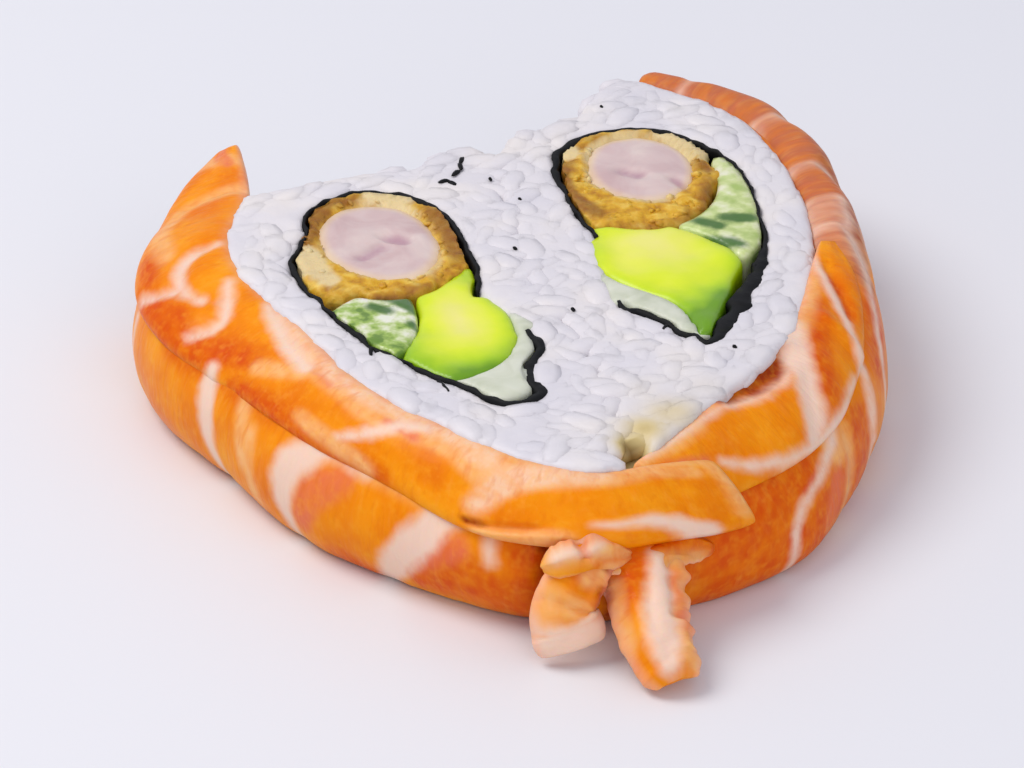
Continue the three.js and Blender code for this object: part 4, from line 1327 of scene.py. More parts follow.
def buildCreamCheese(side):
    mesh = softened("cream_cheese_" + side, softBlock)
    addPiece("creamCheese" + side.title(), mesh, creamCheese, "cream_cheese", "cream_cheese_" + side)


for side in halves:
    buildAvocado(side)
    buildCucumber(side)
    buildCreamCheese(side)
print("fillings made")


# salmon: soft slices along the wrap

# a station: s along the wrap from the tip, the middle line's top, middle and foot [out, up], thickness
# a stroke: points (s, share of the way down, width), in fat or in one of the tones of strokeEdge
# a fold: points (s, share of the way down), height and width
salmonSlices = {
    "LeftUpper": {
        "node": "salmon_left_upper", "seed": 3, "depth": 9.0, "lip": [(-70, 0.5), (0, 0.4), (4, 0.2)],
        "stations": [
            (-70, (2.6, 13.2), (3.3, 12.7), (4, 12.2), 1.4),
            (-65.5, (0.9, 13.3), (3.9, 11.9), (6.6, 10.4), 2.2),
            (-60, (-0.7, 13.3), (3.6, 11.2), (7.2, 9.2), 2.6),
            (-50, (-0.7, 13.3), (3.8, 11.1), (7.7, 9), 3), (-36, (-0.7, 13.3), (3, 11), (6, 8.7), 2.8),
            (-28, (-0.7, 13.3), (2.4, 11.4), (4.9, 9.4), 2.6),
            (-20, (-0.7, 13.3), (2.1, 11.4), (4.1, 9.4), 2.5),
            (-8, (-0.7, 13.3), (1.9, 10.7), (4, 8), 2.4), (0, (-0.6, 13.3), (1.6, 11.2), (3.8, 9.2), 2.4),
            (4, (0, 13.1), (2.5, 10.8), (5.2, 8.2), 2.4), (7, (1.3, 12.4), (3.8, 10.1), (6.3, 7.4), 2.3),
            (10, (2.6, 11.6), (4.8, 9.3), (7, 6.9), 2.1),
        ],
        "fat": [
            [(-51.3, 0.1, 0.5), (-51.2, 0.27, 0.7), (-50.6, 0.39, 1.2), (-49.6, 0.47, 1),
             (-48.1, 0.52, 0.8), (-46.5, 0.51, 0.6), (-45.1, 0.43, 0.5)],
            [(-49.4, 0.92, 0.5), (-48.3, 0.75, 0.5), (-47.9, 0.6, 0.6), (-47.8, 0.51, 0.6)],
            [(-45.2, 0.14, 0.6), (-43, 0.3, 1.2), (-41.8, 0.42, 1.1), (-41.8, 0.57, 0.9),
             (-42.4, 0.7, 0.6), (-43, 0.78, 0.4)],
            [(-40, 0.06, 0.6), (-36.9, 0.16, 0.9), (-34.4, 0.23, 1.1), (-32, 0.26, 1.3),
             (-29.7, 0.29, 1.2)],
            [(-38.6, 0.88, 1), (-38.5, 1, 1.4)],
            [(-22.2, 0.72, 0.4), (-20.6, 0.58, 0.8), (-19, 0.42, 1.1), (-17.9, 0.26, 1.1),
             (-15.6, 0.15, 0.5)],
            [(-0.4, 0.72, 0.3), (2.1, 0.74, 1), (3.4, 0.84, 1.5), (4.4, 0.94, 1.9), (6, 0.98, 1.2)],
        ],
        "pale": [
            [(-61.8, 0, 0.6), (-61, 0.3, 0.7), (-60.2, 0.62, 0.8), (-57, 0.76, 0.8), (-54.6, 0.7, 0.8),
             (-52.4, 0.58, 0.6)],
            [(-33.9, 0.6, 0.5), (-31.4, 0.48, 0.6), (-29.5, 0.3, 1.4)],
            [(-38.6, 0.08, 0.6), (-34, 0.14, 1.6), (-29, 0.16, 2), (-24, 0.15, 2.2), (-21, 0.2, 2.6),
             (-18.7, 0.2, 2.6), (-16.2, 0.18, 2.2), (-12, 0.14, 2.2), (-8, 0.12, 2.2), (-4, 0.08, 1.2),
             (0, 0.04, 0.6)],
            [(-11, 0.26, 1), (-9.2, 0.32, 1.4), (-7, 0.33, 1.4), (-4.6, 0.22, 1), (-1, 0.12, 0.8),
             (3.9, 0.12, 0.6), (6.8, 0.2, 0.5)],
            [(8.8, 0.05, 0.4), (9.4, 0.4, 0.5), (9, 0.8, 0.6)],
            # light orange stroke: painted highlight along the ridge of the tongue's fold
            [(-7.8, 1, 0.3), (-5.8, 0.97, 0.8), (-2.6, 0.9, 0.5)],
            [(2, 0.02, 0.3), (5, 0.03, 0.5), (8.6, 0.04, 0.5)],
            [(-26, 0.76, 0.5), (-22.4, 0.82, 0.9), (-19, 0.9, 0.5)],
            [(-66.5, 0.1, 0.6), (-67.4, 0.8, 0.8)],
        ],
        # deep orange strokes: redder flesh, and painted shade along this slice's lower edge where it curls
        # under at the crease
        "flushAndShade": [
            [(-48.6, 0.95, 1.6), (-45.6, 0.84, 2.6), (-43.4, 0.93, 1.6)],
            [(-41.8, 0.87, 1.2), (-38.8, 0.7, 1.4), (-35.3, 0.58, 0.9)],
            [(-35, 0.93, 0.8), (-30, 0.9, 0.8), (-24, 0.93, 0.7), (-18, 0.94, 0.6)],
            [(-50.5, 0.8, 0.6), (-52.4, 0.76, 0.9)],
        ],
        "rose": [
            [(-38.5, 0.03, 0.3), (-35.6, 0.08, 0.5), (-32, 0.1, 0.3)],
            [(-31, 0.06, 0.3), (-27, 0.12, 0.5), (-24.5, 0.1, 0.2)], [(-29, 0.2, 0.2), (-26, 0.24, 0.3)],
            [(-22, 0.04, 0.2), (-18, 0.08, 0.4), (-14, 0.05, 0.2)], [(-19, 0.28, 0.2), (-16, 0.3, 0.3)],
            [(-68.5, 0.5, 1.4), (-66, 0.2, 0.6)],
        ],
        # dark red-brown stroke: painted shade in the slit under the tongue's fold
        "gapShade": [[(-8.8, 0.89, 0.1), (-7.8, 0.87, 0.1)]],
        "cream": [
            [(-8.4, 0.7, 0.4), (-7.6, 0.46, 0.9), (-6.6, 0.28, 1.5), (-5, 0.19, 1.4), (-3.6, 0.13, 1.1),
             (-2, 0.09, 0.8), (0, 0.05, 0.5)],
            [(-38, 0.06, 0.2), (-32, 0.12, 0.5), (-26, 0.13, 0.5), (-20, 0.12, 0.5), (-13, 0.1, 0.5),
             (-9, 0.16, 0.9)],
        ],
        "folds": [
            ([(-51.2, 0.2), (-50.6, 0.39), (-48.1, 0.52), (-45.1, 0.43)], -0.4, 0.8),
            ([(-49.4, 0.92), (-47.9, 0.6)], -0.35, 0.7),
            ([(-43.6, 0.26), (-41.8, 0.5), (-42.6, 0.75)], -0.4, 0.8),
            ([(-61.8, 0), (-60.6, 0.6)], -0.35, 0.8),
            ([(-39, 0.08), (-34.4, 0.2), (-29.7, 0.26)], -0.3, 0.9),
            ([(-26, 0.3), (-20, 0.36), (-12, 0.42)], 0.3, 2.4),
            ([(-8.8, 0.9), (-6.4, 0.85), (-4, 0.8)], -0.4, 0.4),
            ([(-7.6, 1), (-5, 0.96), (-2.4, 0.9)], 0.35, 0.6),
        ],
    },
    "RightUpper": {
        "node": "salmon_right_upper", "seed": 5, "depth": 7.0,
        "lip": [(14, 0.4), (17, 0), (26, 0), (29, 0.6), (42, 0.6)],
        "stations": [
            (3.6, (-0.6, 12.8), (1, 11.2), (2.4, 9.6), 1.2), (9, (-0.6, 13.1), (1.8, 10.8), (4, 8.2), 2),
            (16, (-0.7, 13.2), (2.8, 10.7), (5.9, 8.2), 2.9),
            (22, (-0.6, 13.2), (3, 10.8), (6, 8.2), 2.8), (29, (-0.8, 13.3), (2.4, 11.2), (5, 8.9), 2.8),
            (34, (-0.9, 13.5), (2, 12), (4.2, 10.4), 2.4),
            (38, (-0.7, 13.8), (1.8, 13), (3.7, 12.2), 1.9),
            (41.5, (-0.2, 14), (1.4, 13.8), (2.9, 13.4), 1), (43.5, (0.4, 14), (1.2, 14), (2, 13.9), 0.6),
        ],
        "fat": [
            [(10.4, 0.6, 0.4), (12.7, 0.8, 0.6), (16.1, 0.92, 0.6), (20, 0.96, 0.7), (24, 0.95, 0.7),
             (28, 0.9, 0.5)],
            [(29, 0.02, 1.2), (27.4, 0.08, 1.7), (25, 0.25, 1.8), (23, 0.48, 1.8), (21.4, 0.75, 1.9),
             (19.9, 0.92, 1.2)],
            [(39.8, 0.02, 0.5), (38.4, 0.1, 0.8), (35.2, 0.32, 1), (32.8, 0.58, 1), (30.6, 0.8, 0.9),
             (29.4, 1, 0.8)],
            [(5, 0.03, 0.1), (9, 0.05, 0.2), (14.4, 0.1, 0.2), (16.8, 0.19, 0.2), (19, 0.26, 0.2),
             (22.2, 0.28, 0.2), (25.4, 0.2, 0.3), (28, 0.06, 0.6)],
        ],
        "pale": [
            [(36, 0.02, 0.6), (32, 0.02, 1), (28, 0.03, 1.2)],
            [(4, 0.06, 0.4), (8, 0.08, 0.4), (11, 0.08, 0.2)],
        ],
        "flushAndShade": [
            [(32.6, 0.1, 0.5), (30, 0.16, 1), (26.7, 0.34, 1.1), (24.9, 0.6, 1)],
            [(36.4, 0.36, 0.5), (34, 0.6, 0.8)],
        ],
        # dark red-brown stroke: painted shade in the hollow between the rice and this slice's top edge
        "gapShade": [
            [(15, 0.03, 0.2), (17.6, 0.1, 0.8), (20.6, 0.12, 1.4), (23.6, 0.12, 1.2), (26, 0.06, 0.4)],
        ],
        "rose": [[(6, 0.3, 0.3), (9, 0.5, 0.3)]],
        "folds": [
            ([(16.4, 0.08), (20.4, 0.15), (24.8, 0.13)], -0.8, 0.9),
            ([(39, 0.25), (34, 0.66)], -0.35, 0.8), ([(28.2, 0.05), (23, 0.48), (20.4, 0.9)], -0.25, 0.8),
            ([(31.4, 0.3), (30.6, 0.9)], 0.35, 0.7),
        ],
    },
    "LeftLower": {
        "node": "salmon_left_lower", "seed": 7, "depth": 10.0, "lip": [(0, 0.3)],
        "stations": [
            (-60.5, (4, 10), (4.9, 5), (4.4, 0.1), 5.8), (-50, (4, 10), (5.1, 5), (4.5, 0.1), 6.4),
            (-36, (3.7, 9.9), (4.7, 5), (3.8, 0.1), 5.9), (-27, (2.8, 10), (4.4, 5), (2.6, 0.1), 4.8),
            (-20, (2.2, 10), (3.9, 4.8), (1.6, 0.1), 4.3), (-13, (2.2, 9.9), (4, 4.6), (1.4, 0.1), 4),
            (-8.4, (1.5, 9.4), (2.9, 4.4), (0.1, 0.1), 3.2),
            (-3.4, (1.2, 8.4), (2, 4.2), (-0.5, 0.1), 2.9),
        ],
        "fat": [
            [(-38.6, 0.02, 1.5), (-38.3, 0.21, 1.8), (-37.7, 0.35, 2.1), (-37.3, 0.51, 1.9),
             (-36.9, 0.65, 1.6), (-36.2, 0.8, 1.2), (-35.8, 1, 1)],
            [(-22.4, 0.04, 0.8), (-23.8, 0.12, 1.8), (-25.5, 0.27, 2.4), (-25.9, 0.4, 2.3),
             (-25.9, 0.55, 1.8), (-25.6, 0.68, 1.2), (-25.4, 0.85, 0.9)],
            [(-24, 0.02, 1.6), (-21.4, 0.04, 1.2), (-19, 0.1, 0.5)],
            [(-8.6, 0.02, 1), (-10.7, 0.12, 1.8), (-11.9, 0.28, 2.5), (-13.7, 0.45, 2.7),
             (-15.3, 0.62, 2.2), (-16.7, 0.79, 1.4), (-17.4, 0.95, 1)],
            [(-7.2, 0.12, 0.5), (-7, 0.32, 0.4)], [(-50.6, 0.3, 0.4), (-50.4, 0.8, 0.5)],
        ],
        "pale": [
            [(-20, 0.05, 0.5), (-15, 0.05, 0.5), (-11, 0.06, 0.8)], [(-33, 0.1, 0.4), (-31, 0.5, 0.3)],
            [(-30.6, 0.3, 0.4), (-29.6, 0.7, 0.3)],
        ],
        # deep orange strokes: redder flesh, and painted shade under the upper slice's edge and near the tails
        "flushAndShade": [
            [(-44, 0.06, 1), (-38, 0.02, 0.8), (-30, 0.02, 0.6)],
            [(-12.6, 0.62, 1.4), (-9.5, 0.5, 2.6), (-7, 0.6, 2)], [(-4, 0.2, 2), (-4, 0.8, 2)],
            [(-20.4, 0.86, 1.2), (-17, 0.94, 0.8)],
        ],
        # dark red-brown strokes: painted shade at the slice's end, under the tongue and between the tails
        "gapShade": [[(-5, 0.02, 0.8), (-3.6, 0.06, 1.4)], [(-3, 0.3, 0.6), (-3, 1, 0.8)]],
        "rose": [
            [(-24, 0.6, 1), (-23, 0.36, 1.8), (-20.6, 0.2, 1)], [(-12.6, 0.5, 0.8), (-9.4, 0.3, 1.2)],
        ],
        "folds": [
            ([(-38.6, 0), (-37.4, 0.5), (-36.2, 1)], -0.14, 1.2),
            ([(-9, 0), (-12, 0.3), (-16.7, 0.8)], -0.16, 1.3),
            ([(-23, 0.1), (-25.8, 0.45), (-25.4, 0.9)], -0.16, 1.2),
        ],
    },
    "RightLower": {
        "node": "salmon_right_lower", "seed": 9, "depth": 11.0, "lip": [(36, 0.1), (46, 0.2), (80, 0.2)],
        "stations": [
            (-2.5, (1.2, 8.4), (1.9, 4.2), (-0.8, 0.1), 3), (1.5, (1.3, 8.4), (2, 4.2), (-0.8, 0.1), 3),
            (7, (1.9, 8.4), (3.8, 4.3), (2.8, 0.1), 4.3), (14, (2.4, 9.2), (5.1, 4.6), (6.8, 0.1), 5.7),
            (18, (2.4, 9.5), (5.1, 4.8), (6.6, 0.1), 5.7), (24, (2.6, 9.8), (4.4, 5), (4.3, 0.1), 5.3),
            (34, (2.4, 11.4), (3.8, 6), (3.1, 0.1), 5.3), (38, (2, 13), (3.2, 6.6), (3, 0.1), 5.6),
            (42, (1.6, 14), (2.6, 7), (2.6, 0.1), 5.8), (46, (1.3, 14.1), (2.2, 7), (2.2, 0.1), 6.2),
            (50, (1.4, 14.1), (2.3, 7), (2.2, 0.1), 6.2), (54, (1.7, 14.1), (2.5, 7), (2.4, 0.1), 6.4),
            (58, (1.3, 14.1), (2, 7), (2, 0.1), 6), (63, (1.9, 14.1), (2.6, 7), (2.4, 0.1), 6.6),
            (67.5, (1.5, 14.1), (2, 7), (2, 0.1), 6), (73, (2, 14.1), (2.4, 7), (2.1, 0.1), 6.2),
            (80, (1.4, 13.7), (1.6, 7), (1.4, 0.1), 3.8),
        ],
        "fat": [
            [(23.6, 0.14, 0.5), (22.3, 0.28, 0.8), (20.8, 0.34, 0.7), (19.5, 0.41, 0.6),
             (17.8, 0.45, 0.6), (15.6, 0.54, 0.7), (14.4, 0.66, 0.8), (14.1, 0.84, 0.7), (13.6, 1, 0.5)],
            [(30.2, 0.1, 0.6), (29.4, 0.25, 0.7), (28.6, 0.45, 0.6), (28.2, 0.8, 0.4)],
            [(51, 0.04, 0.4), (47, 0.05, 0.5), (43, 0.07, 0.6), (38.6, 0.13, 0.7), (35.3, 0.24, 0.7),
             (33.6, 0.42, 0.7), (32.8, 0.8, 0.5)],
            [(46.4, 0.02, 0.5), (43.6, 0.12, 0.8), (41.4, 0.3, 0.9), (39.6, 0.6, 0.9), (38.6, 0.9, 0.6)],
            [(57, 0.03, 0.4), (54.6, 0.14, 0.7), (51.4, 0.34, 1), (49.4, 0.6, 1.1), (48.4, 0.95, 0.8)],
            [(66, 0.03, 0.4), (63.4, 0.12, 0.7), (61.2, 0.36, 1.1), (60, 0.7, 1.2), (59.4, 1, 0.8)],
            [(75, 0.03, 0.4), (72.6, 0.2, 0.7), (71.4, 0.5, 1.1), (70.8, 0.9, 1)],
        ],
        "pale": [
            [(22.1, 0.2, 0.8), (22.4, 0.38, 0.8)],
            [(44, 0.16, 0.3), (56, 0.14, 0.4), (66, 0.12, 0.4), (78, 0.1, 0.4)],
            [(24.2, 0.3, 0.3), (23.4, 0.6, 0.3), (22, 0.9, 0.3)],
        ],
        # deep orange strokes: redder flesh, and painted shade over the front face turned from the light
        "flushAndShade": [
            [(2, 0.3, 3.4), (8, 0.4, 4.4), (14, 0.3, 3), (18, 0.3, 2)],
            [(8, 0.8, 3.4), (17, 0.8, 2.6), (23, 0.6, 2.6)], [(26.4, 0.4, 2), (26, 0.8, 2)],
            [(33, 0.3, 1), (37, 0.2, 1.6)],
        ],
        # brown strokes: painted shade on the back of the slice, turned from the light
        "backShade": [
            [(40, 0.08, 0.8), (48, 0.07, 1.6), (58, 0.06, 1.8), (66, 0.05, 1.8), (79, 0.05, 1.6)],
            [(50, 0.4, 1.4), (60, 0.4, 1.4), (70, 0.4, 1.4)],
        ],
        # dark red-brown strokes: painted shade on the slice between the tails
        "gapShade": [[(0, 0.06, 1.2), (4, 0.08, 1.8), (9, 0.02, 1)], [(0.6, 0.3, 1.2), (0.8, 1, 1.2)]],
        "rose": [[(21.4, 0.55, 1.2), (19.6, 0.76, 1)]],
        "folds": [
            ([(30, 0.1), (28.9, 0.6)], 0.3, 0.6), ([(46.4, 0.02), (43, 0.14), (40.4, 0.5)], -0.45, 0.9),
            ([(24.4, 0.1), (24, 0.5), (22.6, 1)], -0.22, 0.6),
            ([(57, 0.03), (51.6, 0.32), (48.6, 0.9)], -0.45, 1),
            ([(66, 0.02), (61.4, 0.34), (59.6, 1)], -0.45, 0.9), ([(75, 0.02), (71.6, 0.5)], -0.45, 0.9),
            ([(60, 0.2), (56, 0.8)], 0.4, 2), ([(69, 0.2), (66, 0.8)], 0.4, 2),
        ],
    },
}
sliceSkin = {"step": 0.36, "around": 104, "endRound": 1.3, "endThickness": 0.0004, "endDepth": 0.86,
             "corner": 2.6, "blend": 2.6, "snug": 0.3, "lipDepth": 0.06, "fatReach": 4}
sliceWaves = [(13.0, 0.42), (4.5, 0.17), (1.6, 0.06)]  # period and height
# how softly each tone fades out, and how far round a slice's edge its marks run
strokeEdge = {"pale": 1.2, "flushAndShade": 2.2, "rose": 0.9, "backShade": 1.8, "cream": 1.3, "gapShade": 0.6}
markedFrom = -0.55


def sectionPath(count, corner):
    # even steps round a blunt section, from its top: share down its middle line, and side from -1 to 1
    angle = np.linspace(0, 2 * math.pi, 720)
    blunt = lambda v: np.sign(v) * np.abs(v) ** (2 / corner)
    share, side = 0.5 - 0.5 * blunt(np.cos(angle)), blunt(np.sin(angle))
    run = runAlong(np.stack([share * 9, side * 2], -1))  # a section is about 9 mm deep and 4 mm thick
    even = np.linspace(0, run[-1], count, endpoint=False)
    return np.interp(even, run, share), np.interp(even, run, side)


def roundedEnd(fromEnd, radius, least):
    # the share of its thickness that a strip has near a rounded end
    return np.sqrt(np.clip(1 - (1 - np.clip(fromEnd / radius, 0, 1)) ** 2, least, 1))


def blurred(values, step, reach):
    # a row of values smoothed over a reach in mm, with its ends held
    half = min(int(3 * reach / step), len(values) - 1)
    kernel = np.exp(-0.5 * (np.arange(-half, half + 1) * step / reach) ** 2)
    before = 2 * values[0] - values[half:0:-1]
    after = 2 * values[-1] - values[-2:-half - 2:-1]
    return np.convolve(np.concatenate([before, values, after]), kernel / kernel.sum(), "valid")


def addFolds(lift, strip, facts, across, onOuter):
    # folds and grooves of the outer face: across turns a fold's share into mm
    for fold, height, width in facts["folds"]:
        away = lineDistance(strip[:, :2], [[(a, b * across) for a, b in fold]])
        lift += onOuter * height * np.exp(-(away / width) ** 2)


def paintStrokes(mesh, strip, facts, across):
    # the slice's own marks as values on its points
    def fromLines(name):
        lines = [[(a, b * across, w) for a, b, w in stroke] for stroke in facts.get(name, [])]
        return lineDistance(strip[:, :2], lines)

    outside, far = strip[:, 2] > markedFrom, sliceSkin["fatReach"]
    storeValues(mesh, "strip", strip)
    storeValues(mesh, "fat", np.where(outside, np.minimum(fromLines("fat"), far), far))
    for name, fade in strokeEdge.items():
        soft = np.clip(1 - fromLines(name) / fade, 0, 1)
        storeValues(mesh, name, soft * soft * (3 - 2 * soft) * outside)


def buildSlice(name, facts):
    stations = np.array([(s, *top, *mid, *foot, thick) for s, top, mid, foot, thick in facts["stations"]])
    count = int((stations[-1, 0] - stations[0, 0]) / sliceSkin["step"])
    s = np.linspace(stations[0, 0], stations[-1, 0], count)
    top, mid, foot, thick = np.split(np.stack([
        blurred(np.interp(s, stations[:, 0], column), s[1] - s[0], sliceSkin["blend"])
        for column in stations.T[1:]], 1), (2, 4, 6), axis=1)
    fromEnd = np.minimum(s - s[0], s[-1] - s)
    bluntness = roundedEnd(fromEnd, sliceSkin["endRound"], sliceSkin["endThickness"])[:, None]
    share, side = sectionPath(sliceSkin["around"], sliceSkin["corner"])

    # each section's middle line curves through its top, middle and foot
    t = 0.5 + (share - 0.5) * (sliceSkin["endDepth"] + (1 - sliceSkin["endDepth"]) * bluntness)
    places = ((1 - t) * (1 - 2 * t), 4 * t * (1 - t), t * (2 * t - 1))
    slopes = (4 * t - 3, 4 - 8 * t, 4 * t - 1)
    line, ahead = (sum(part[..., None] * point[:, None] for part, point in zip(parts, (top, mid, foot)))
                   for parts in (places, slopes))
    ahead /= np.linalg.norm(ahead, axis=-1, keepdims=True)
    out = np.stack([-ahead[..., 1], ahead[..., 0]], -1)

    rowS = np.repeat(s[:, None], len(share), 1)
    strip = np.stack([rowS, t * facts["depth"], np.repeat(side[None], count, 0)], -1).reshape(-1, 3)
    lift = np.zeros(len(strip))
    for period, height in sliceWaves:
        lift += height * roughness(strip * (1, 1, 0.2), period, facts["seed"])
    addFolds(lift, strip, facts, facts["depth"], np.clip(strip[:, 2] * 2, 0, 1))
    reach = side * (thick / 2) * bluntness + lift.reshape(count, -1) * bluntness
    reach -= sliceSkin["snug"] * np.clip(-side, 0, 1) * bluntness
    section = line + out * reach[..., None]

    place, ahead = alongWrap(rowS)
    away = np.stack([ahead[..., 1], -ahead[..., 0]], -1)
    plan = place + away * section[..., :1]
    up = np.clip(section[..., 1], lowest, cadBox[1].z / mm)
    points = toFrame(plan[..., 0], plan[..., 1], up).reshape(-1, 3)
    mesh = makeMesh(name, points, tubeFaces(count, len(share)))
    turnOutwards(mesh)
    paintStrokes(mesh, strip, facts, facts["depth"])
    lip = np.interp(strip[:, 0], *zip(*facts["lip"]))
    storeValues(mesh, "lip", lip * np.exp(-(strip[:, 1] / facts["depth"] / sliceSkin["lipDepth"]) ** 2))
    addPiece("salmon" + name, mesh, salmon, "salmon", facts["node"])


for name, facts in salmonSlices.items():
    buildSlice(name, facts)
print("salmon slices made")


# the ends that hang out at the tip, and the rolled edges over their roots
# a row: the middle of a section [x, y, z], its width, the heading and rise of its width, and its camber
tails = {
    "Left": {
        "node": "salmon_tail_left", "seed": 12, "thick": 1.9, "ragged": (0.02, 0.03),
        "rows": [(-0.8, -20.6, 8.6, 3.4, 0, 20, 0.3), (-2.2, -21.1, 7.4, 4.4, 0, 16, 0.6),
                 (-3.4, -21.7, 5.8, 5, 0, 10, 0.8), (-4, -22.2, 4.2, 5.4, 0, 2, 0.8),
                 (-3.7, -22.7, 2.6, 6, -2, -6, 0.7), (-3.4, -23.2, 1.2, 6.1, -4, -8, 0.5)],
        "fat": [[(6.4, -0.56, 0.8), (7, 0, 0.5), (6.6, 0.5, 0.8)], [(8, -0.5, 2.6), (8.1, 0.5, 2.6)]],
        "pale": [
            [(2.4, -0.6, 0.6), (4.6, -0.56, 0.8)], [(1.3, 0.3, 0.6), (2.2, 0.14, 0.4)],
            [(4.9, -0.4, 0.7), (5.3, 0.4, 0.9)], [(4.4, 0.5, 0.6), (5.6, 0.5, 0.8)],
        ],
        # deep orange stroke: painted shade at the tail's root, under the overhanging slice
        "flushAndShade": [[(0.4, 0, 1.2), (1.6, 0, 0.8)]], "rose": [[(3, 0.56, 0.2), (5.6, 0.6, 0.3)]],
        # dark red-brown strokes: painted shade at the root under the tongue and beside a fold
        "gapShade": [[(0, -0.3, 0.8), (0.2, 0.4, 0.8)], [(2.4, 0.4, 0.4), (4, 0.46, 0.5), (5.4, 0.52, 0.3)]],
        "folds": [([(2, 0.34), (6.4, 0.4)], 0.35, 0.5), ([(5, -0.4), (5.2, 0.3)], -0.25, 0.5)],
    },
    "Right": {
        "node": "salmon_tail_right", "seed": 14, "thick": 2.3, "ragged": (0.03, 0.1),
        "rows": [(2.2, -18.6, 8.2, 5, 0, -4, 0.6), (2.7, -20.6, 6.5, 6.8, 0, 0, 1),
                 (2.8, -22.4, 5.2, 6.8, 0, 4, 1.3), (2.7, -24.2, 4.1, 6.2, 2, 7, 1.5),
                 (2.8, -25.9, 3.2, 5.7, 3, 8, 1.4), (3.1, -27.4, 2.4, 5.3, 3, 8, 1.2),
                 (3.5, -28.7, 1.8, 5, 2, 6, 0.9), (3.7, -29.5, 1.4, 4.6, 0, 4, 0.6)],
        "fat": [[(2.6, 0.16, 1.2), (5, 0.14, 2), (8, 0.08, 2.4), (10.6, 0.02, 2.3), (12, -0.06, 1.6)]],
        "pale": [
            [(2.2, 0.34, 0.6), (6, 0.4, 1), (9, 0.36, 1), (12, 0.3, 1)],
            [(4, -0.46, 0.2), (9, -0.42, 0.4)],
        ],
        # deep orange stroke: painted shade along the tail's upper side, beside the gap between the tails
        "flushAndShade": [[(1.6, -0.2, 1.2), (4, -0.3, 1.2), (6, -0.36, 0.6)]],
        # dark red-brown stroke: painted shade on the tail's edge beside the gap between the tails
        "gapShade": [[(2.4, -0.58, 0.4), (4.4, -0.6, 0.5), (6, -0.6, 0.2)]],
        "rose": [[(3.6, 0.34, 0.3), (6, 0.4, 0.3)], [(6.6, 0.44, 0.2), (9, 0.4, 0.3)]],
        "folds": [
            ([(1.4, -0.3), (6, -0.2), (11, -0.16)], 0.3, 0.7), ([(3, 0.34), (7.4, 0.32)], -0.4, 0.5),
            ([(8.4, 0.36), (11, 0.32)], 0.3, 0.4), ([(4, -0.02), (9, -0.04)], -0.2, 0.5),
        ],
    },
    "RolledLeft": {
        "seed": 17, "thick": 0.9, "ragged": (0.06, 0.16),
        "rows": [(1.8, -20.6, 8, 1, 90, 62, 0.1), (0.4, -21.2, 8.5, 2.3, 90, 62, 0.4),
                 (-1.4, -21.6, 8.9, 3.1, 92, 64, 0.7), (-3.2, -21.7, 8.9, 3.1, 94, 64, 0.8),
                 (-4.6, -21.5, 8.5, 2.6, 100, 60, 0.5), (-5.6, -21.1, 8, 1.4, 110, 56, 0.2)],
        "fat": [[(3.2, 0.3, 0.5), (4, 0.26, 0.6)], [(5, 0.24, 0.6), (6.4, 0.2, 0.8)]],
        "pale": [[(1, 0.2, 0.3), (4, 0.1, 0.5), (7, 0.1, 0.6)], [(0.4, -0.5, 0.2), (2.4, -0.5, 0.3)]],
        "flushAndShade": [[(0, -0.1, 0.9), (2.6, 0.1, 0.9)]], "rose": [[(4.4, 0.1, 0.1), (4.6, 0.5, 0.2)]],
        "folds": [([(4.4, -0.1), (4.6, 0.6)], -0.5, 0.4), ([(1, 0), (4, -0.1), (7, -0.1)], -0.25, 0.5)],
    },
    "RolledRight": {
        "seed": 19, "thick": 0.6, "ragged": (0.14, 0.02),
        "rows": [(-0.4, -20.6, 7.4, 2.2, 90, 24, 0.1), (1.6, -20.8, 7.6, 2.6, 90, 24, 0.2),
                 (3.8, -20.5, 7.8, 2.6, 84, 26, 0.3), (6, -19.6, 7.3, 2.4, 74, 28, 0.3),
                 (7.8, -18.5, 6.6, 2, 64, 30, 0.2), (9.2, -17.3, 5.9, 1.2, 58, 30, 0.1)],
        "pale": [[(0.4, -0.45, 0.3), (5, -0.45, 0.3), (9, -0.4, 0.3)]],
        "flushAndShade": [[(0, 0.4, 0.6), (10, 0.4, 0.6)], [(5.6, -0.2, 0.5), (9.4, -0.2, 0.9)]],
        "folds": [([(1.4, -0.2), (5, -0.14), (9, -0.2)], -0.2, 0.4)],
    },
}
tailSkin = {"step": 0.25, "around": 64, "corner": 2.2, "endRound": 1.1, "endThickness": 0.001,
            "endWidth": 0.7, "waver": 0.3, "waverPeriod": 0.45, "tear": (0.75, 1.7),
            "lip": 0.6, "lipFrom": 0.75}


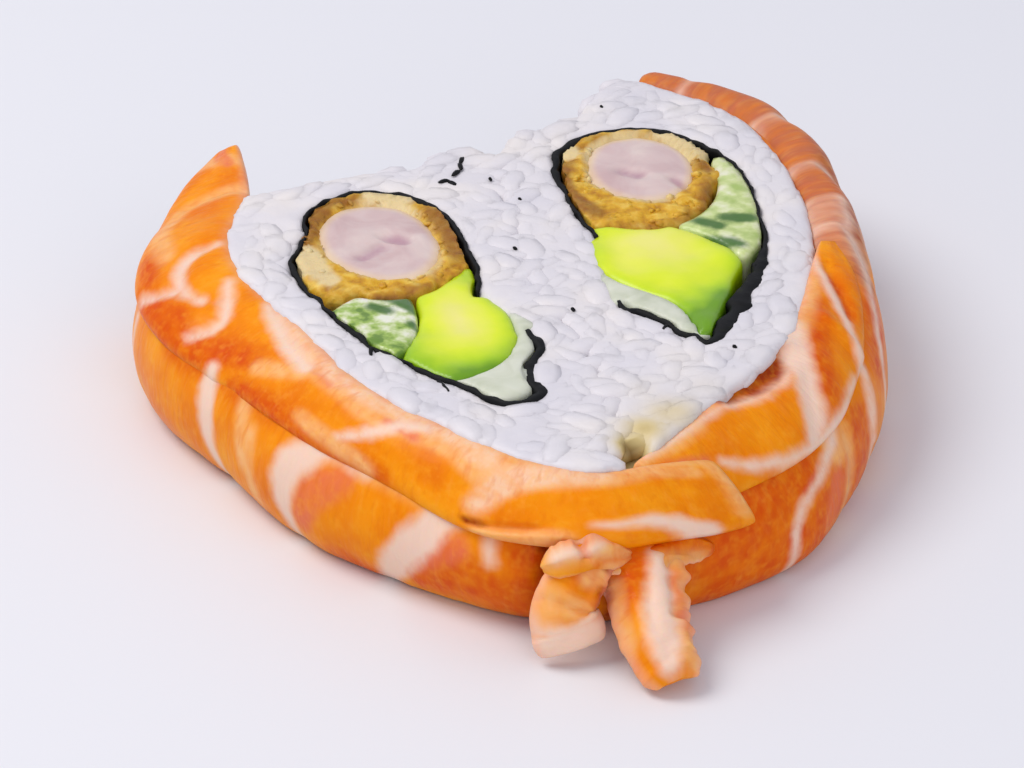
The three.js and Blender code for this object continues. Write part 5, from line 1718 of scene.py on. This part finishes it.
def tailSection(facts, along, width, camber, bluntness, share, side):
    # one section's points across and above its middle
    seed = facts["seed"]
    coarse, fine = (along * period for period in tailSkin["tear"])
    jag = noise.noise(Vector((coarse, 3, seed))) + 0.4 * noise.noise(Vector((fine, 5, seed)))
    tear = np.where(share < 0.5, facts["ragged"][0], facts["ragged"][1]) * 2 * jag * np.abs(2 * share - 1)
    across = (share - 0.5) * width * (1 + tear) * (tailSkin["endWidth"] + 0.3 * bluntness)
    lift = camber * (0.5 - (2 * share - 1) ** 2)
    lift = lift + [tailSkin["waver"] * noise.noise(Vector((along * tailSkin["waverPeriod"], t * 3, seed)))
                   for t in share]
    return across, side * facts["thick"] / 2 * bluntness + lift


def buildTail(name, facts):
    rows = smoothLine(facts["rows"], tailSkin["step"])
    line, widths, turns, rises, cambers = rows[:, :3], rows[:, 3], *np.radians(rows[:, 4:6]).T, rows[:, 6]
    count, run = len(line), runAlong(line)
    fromEnd = run[-1] - run if "node" in facts else np.minimum(run[-1] - run, run)
    bluntness = roundedEnd(fromEnd, tailSkin["endRound"], tailSkin["endThickness"])
    share, side = sectionPath(tailSkin["around"], tailSkin["corner"])
    ahead = np.gradient(line, axis=0)
    ahead /= np.linalg.norm(ahead, axis=1, keepdims=True)
    points, strip = [], []
    for i in range(count):
        across = np.array([math.cos(turns[i]), math.sin(turns[i]), math.tan(rises[i])])
        across -= ahead[i] * (across @ ahead[i])
        across /= np.linalg.norm(across)
        above = np.cross(across, ahead[i])
        above *= np.sign(above[2] - above[1])
        x, y = tailSection(facts, run[i], widths[i], cambers[i], bluntness[i], share, side)
        points.append(line[i] + np.outer(x, across) + np.outer(y, above))
        strip.append(np.column_stack([np.full(len(share), run[i]), (share - 0.5) * widths[i], side]))
    points, strip = np.vstack(points), np.vstack(strip)
    points[:, 2] = np.maximum(points[:, 2], lowest)
    mesh = makeMesh(name, toFrame(*points.T), tubeFaces(count, len(share)))
    turnOutwards(mesh)
    points, normals = pointsOf(mesh), normalsOf(mesh)
    lift = np.zeros(len(points))
    addFolds(lift, strip, facts, widths.mean(), strip[:, 2] > 0)
    points += normals * lift[:, None]
    points[:, 2] = np.maximum(points[:, 2], lowest)
    setPoints(mesh, points)
    paintStrokes(mesh, strip, facts, widths.mean())
    rim = np.abs(strip[:, 1]) / np.interp(strip[:, 0], run, widths) * 2
    lip = np.clip((rim - tailSkin["lipFrom"]) / (1 - tailSkin["lipFrom"]), 0, 1)
    storeValues(mesh, "lip", tailSkin["lip"] * lip)
    addPiece("salmonTail" + name, mesh, salmon, "salmon", *([facts["node"]] if "node" in facts else []))


for name, facts in tails.items():
    buildTail(name, facts)
print("salmon tails made")
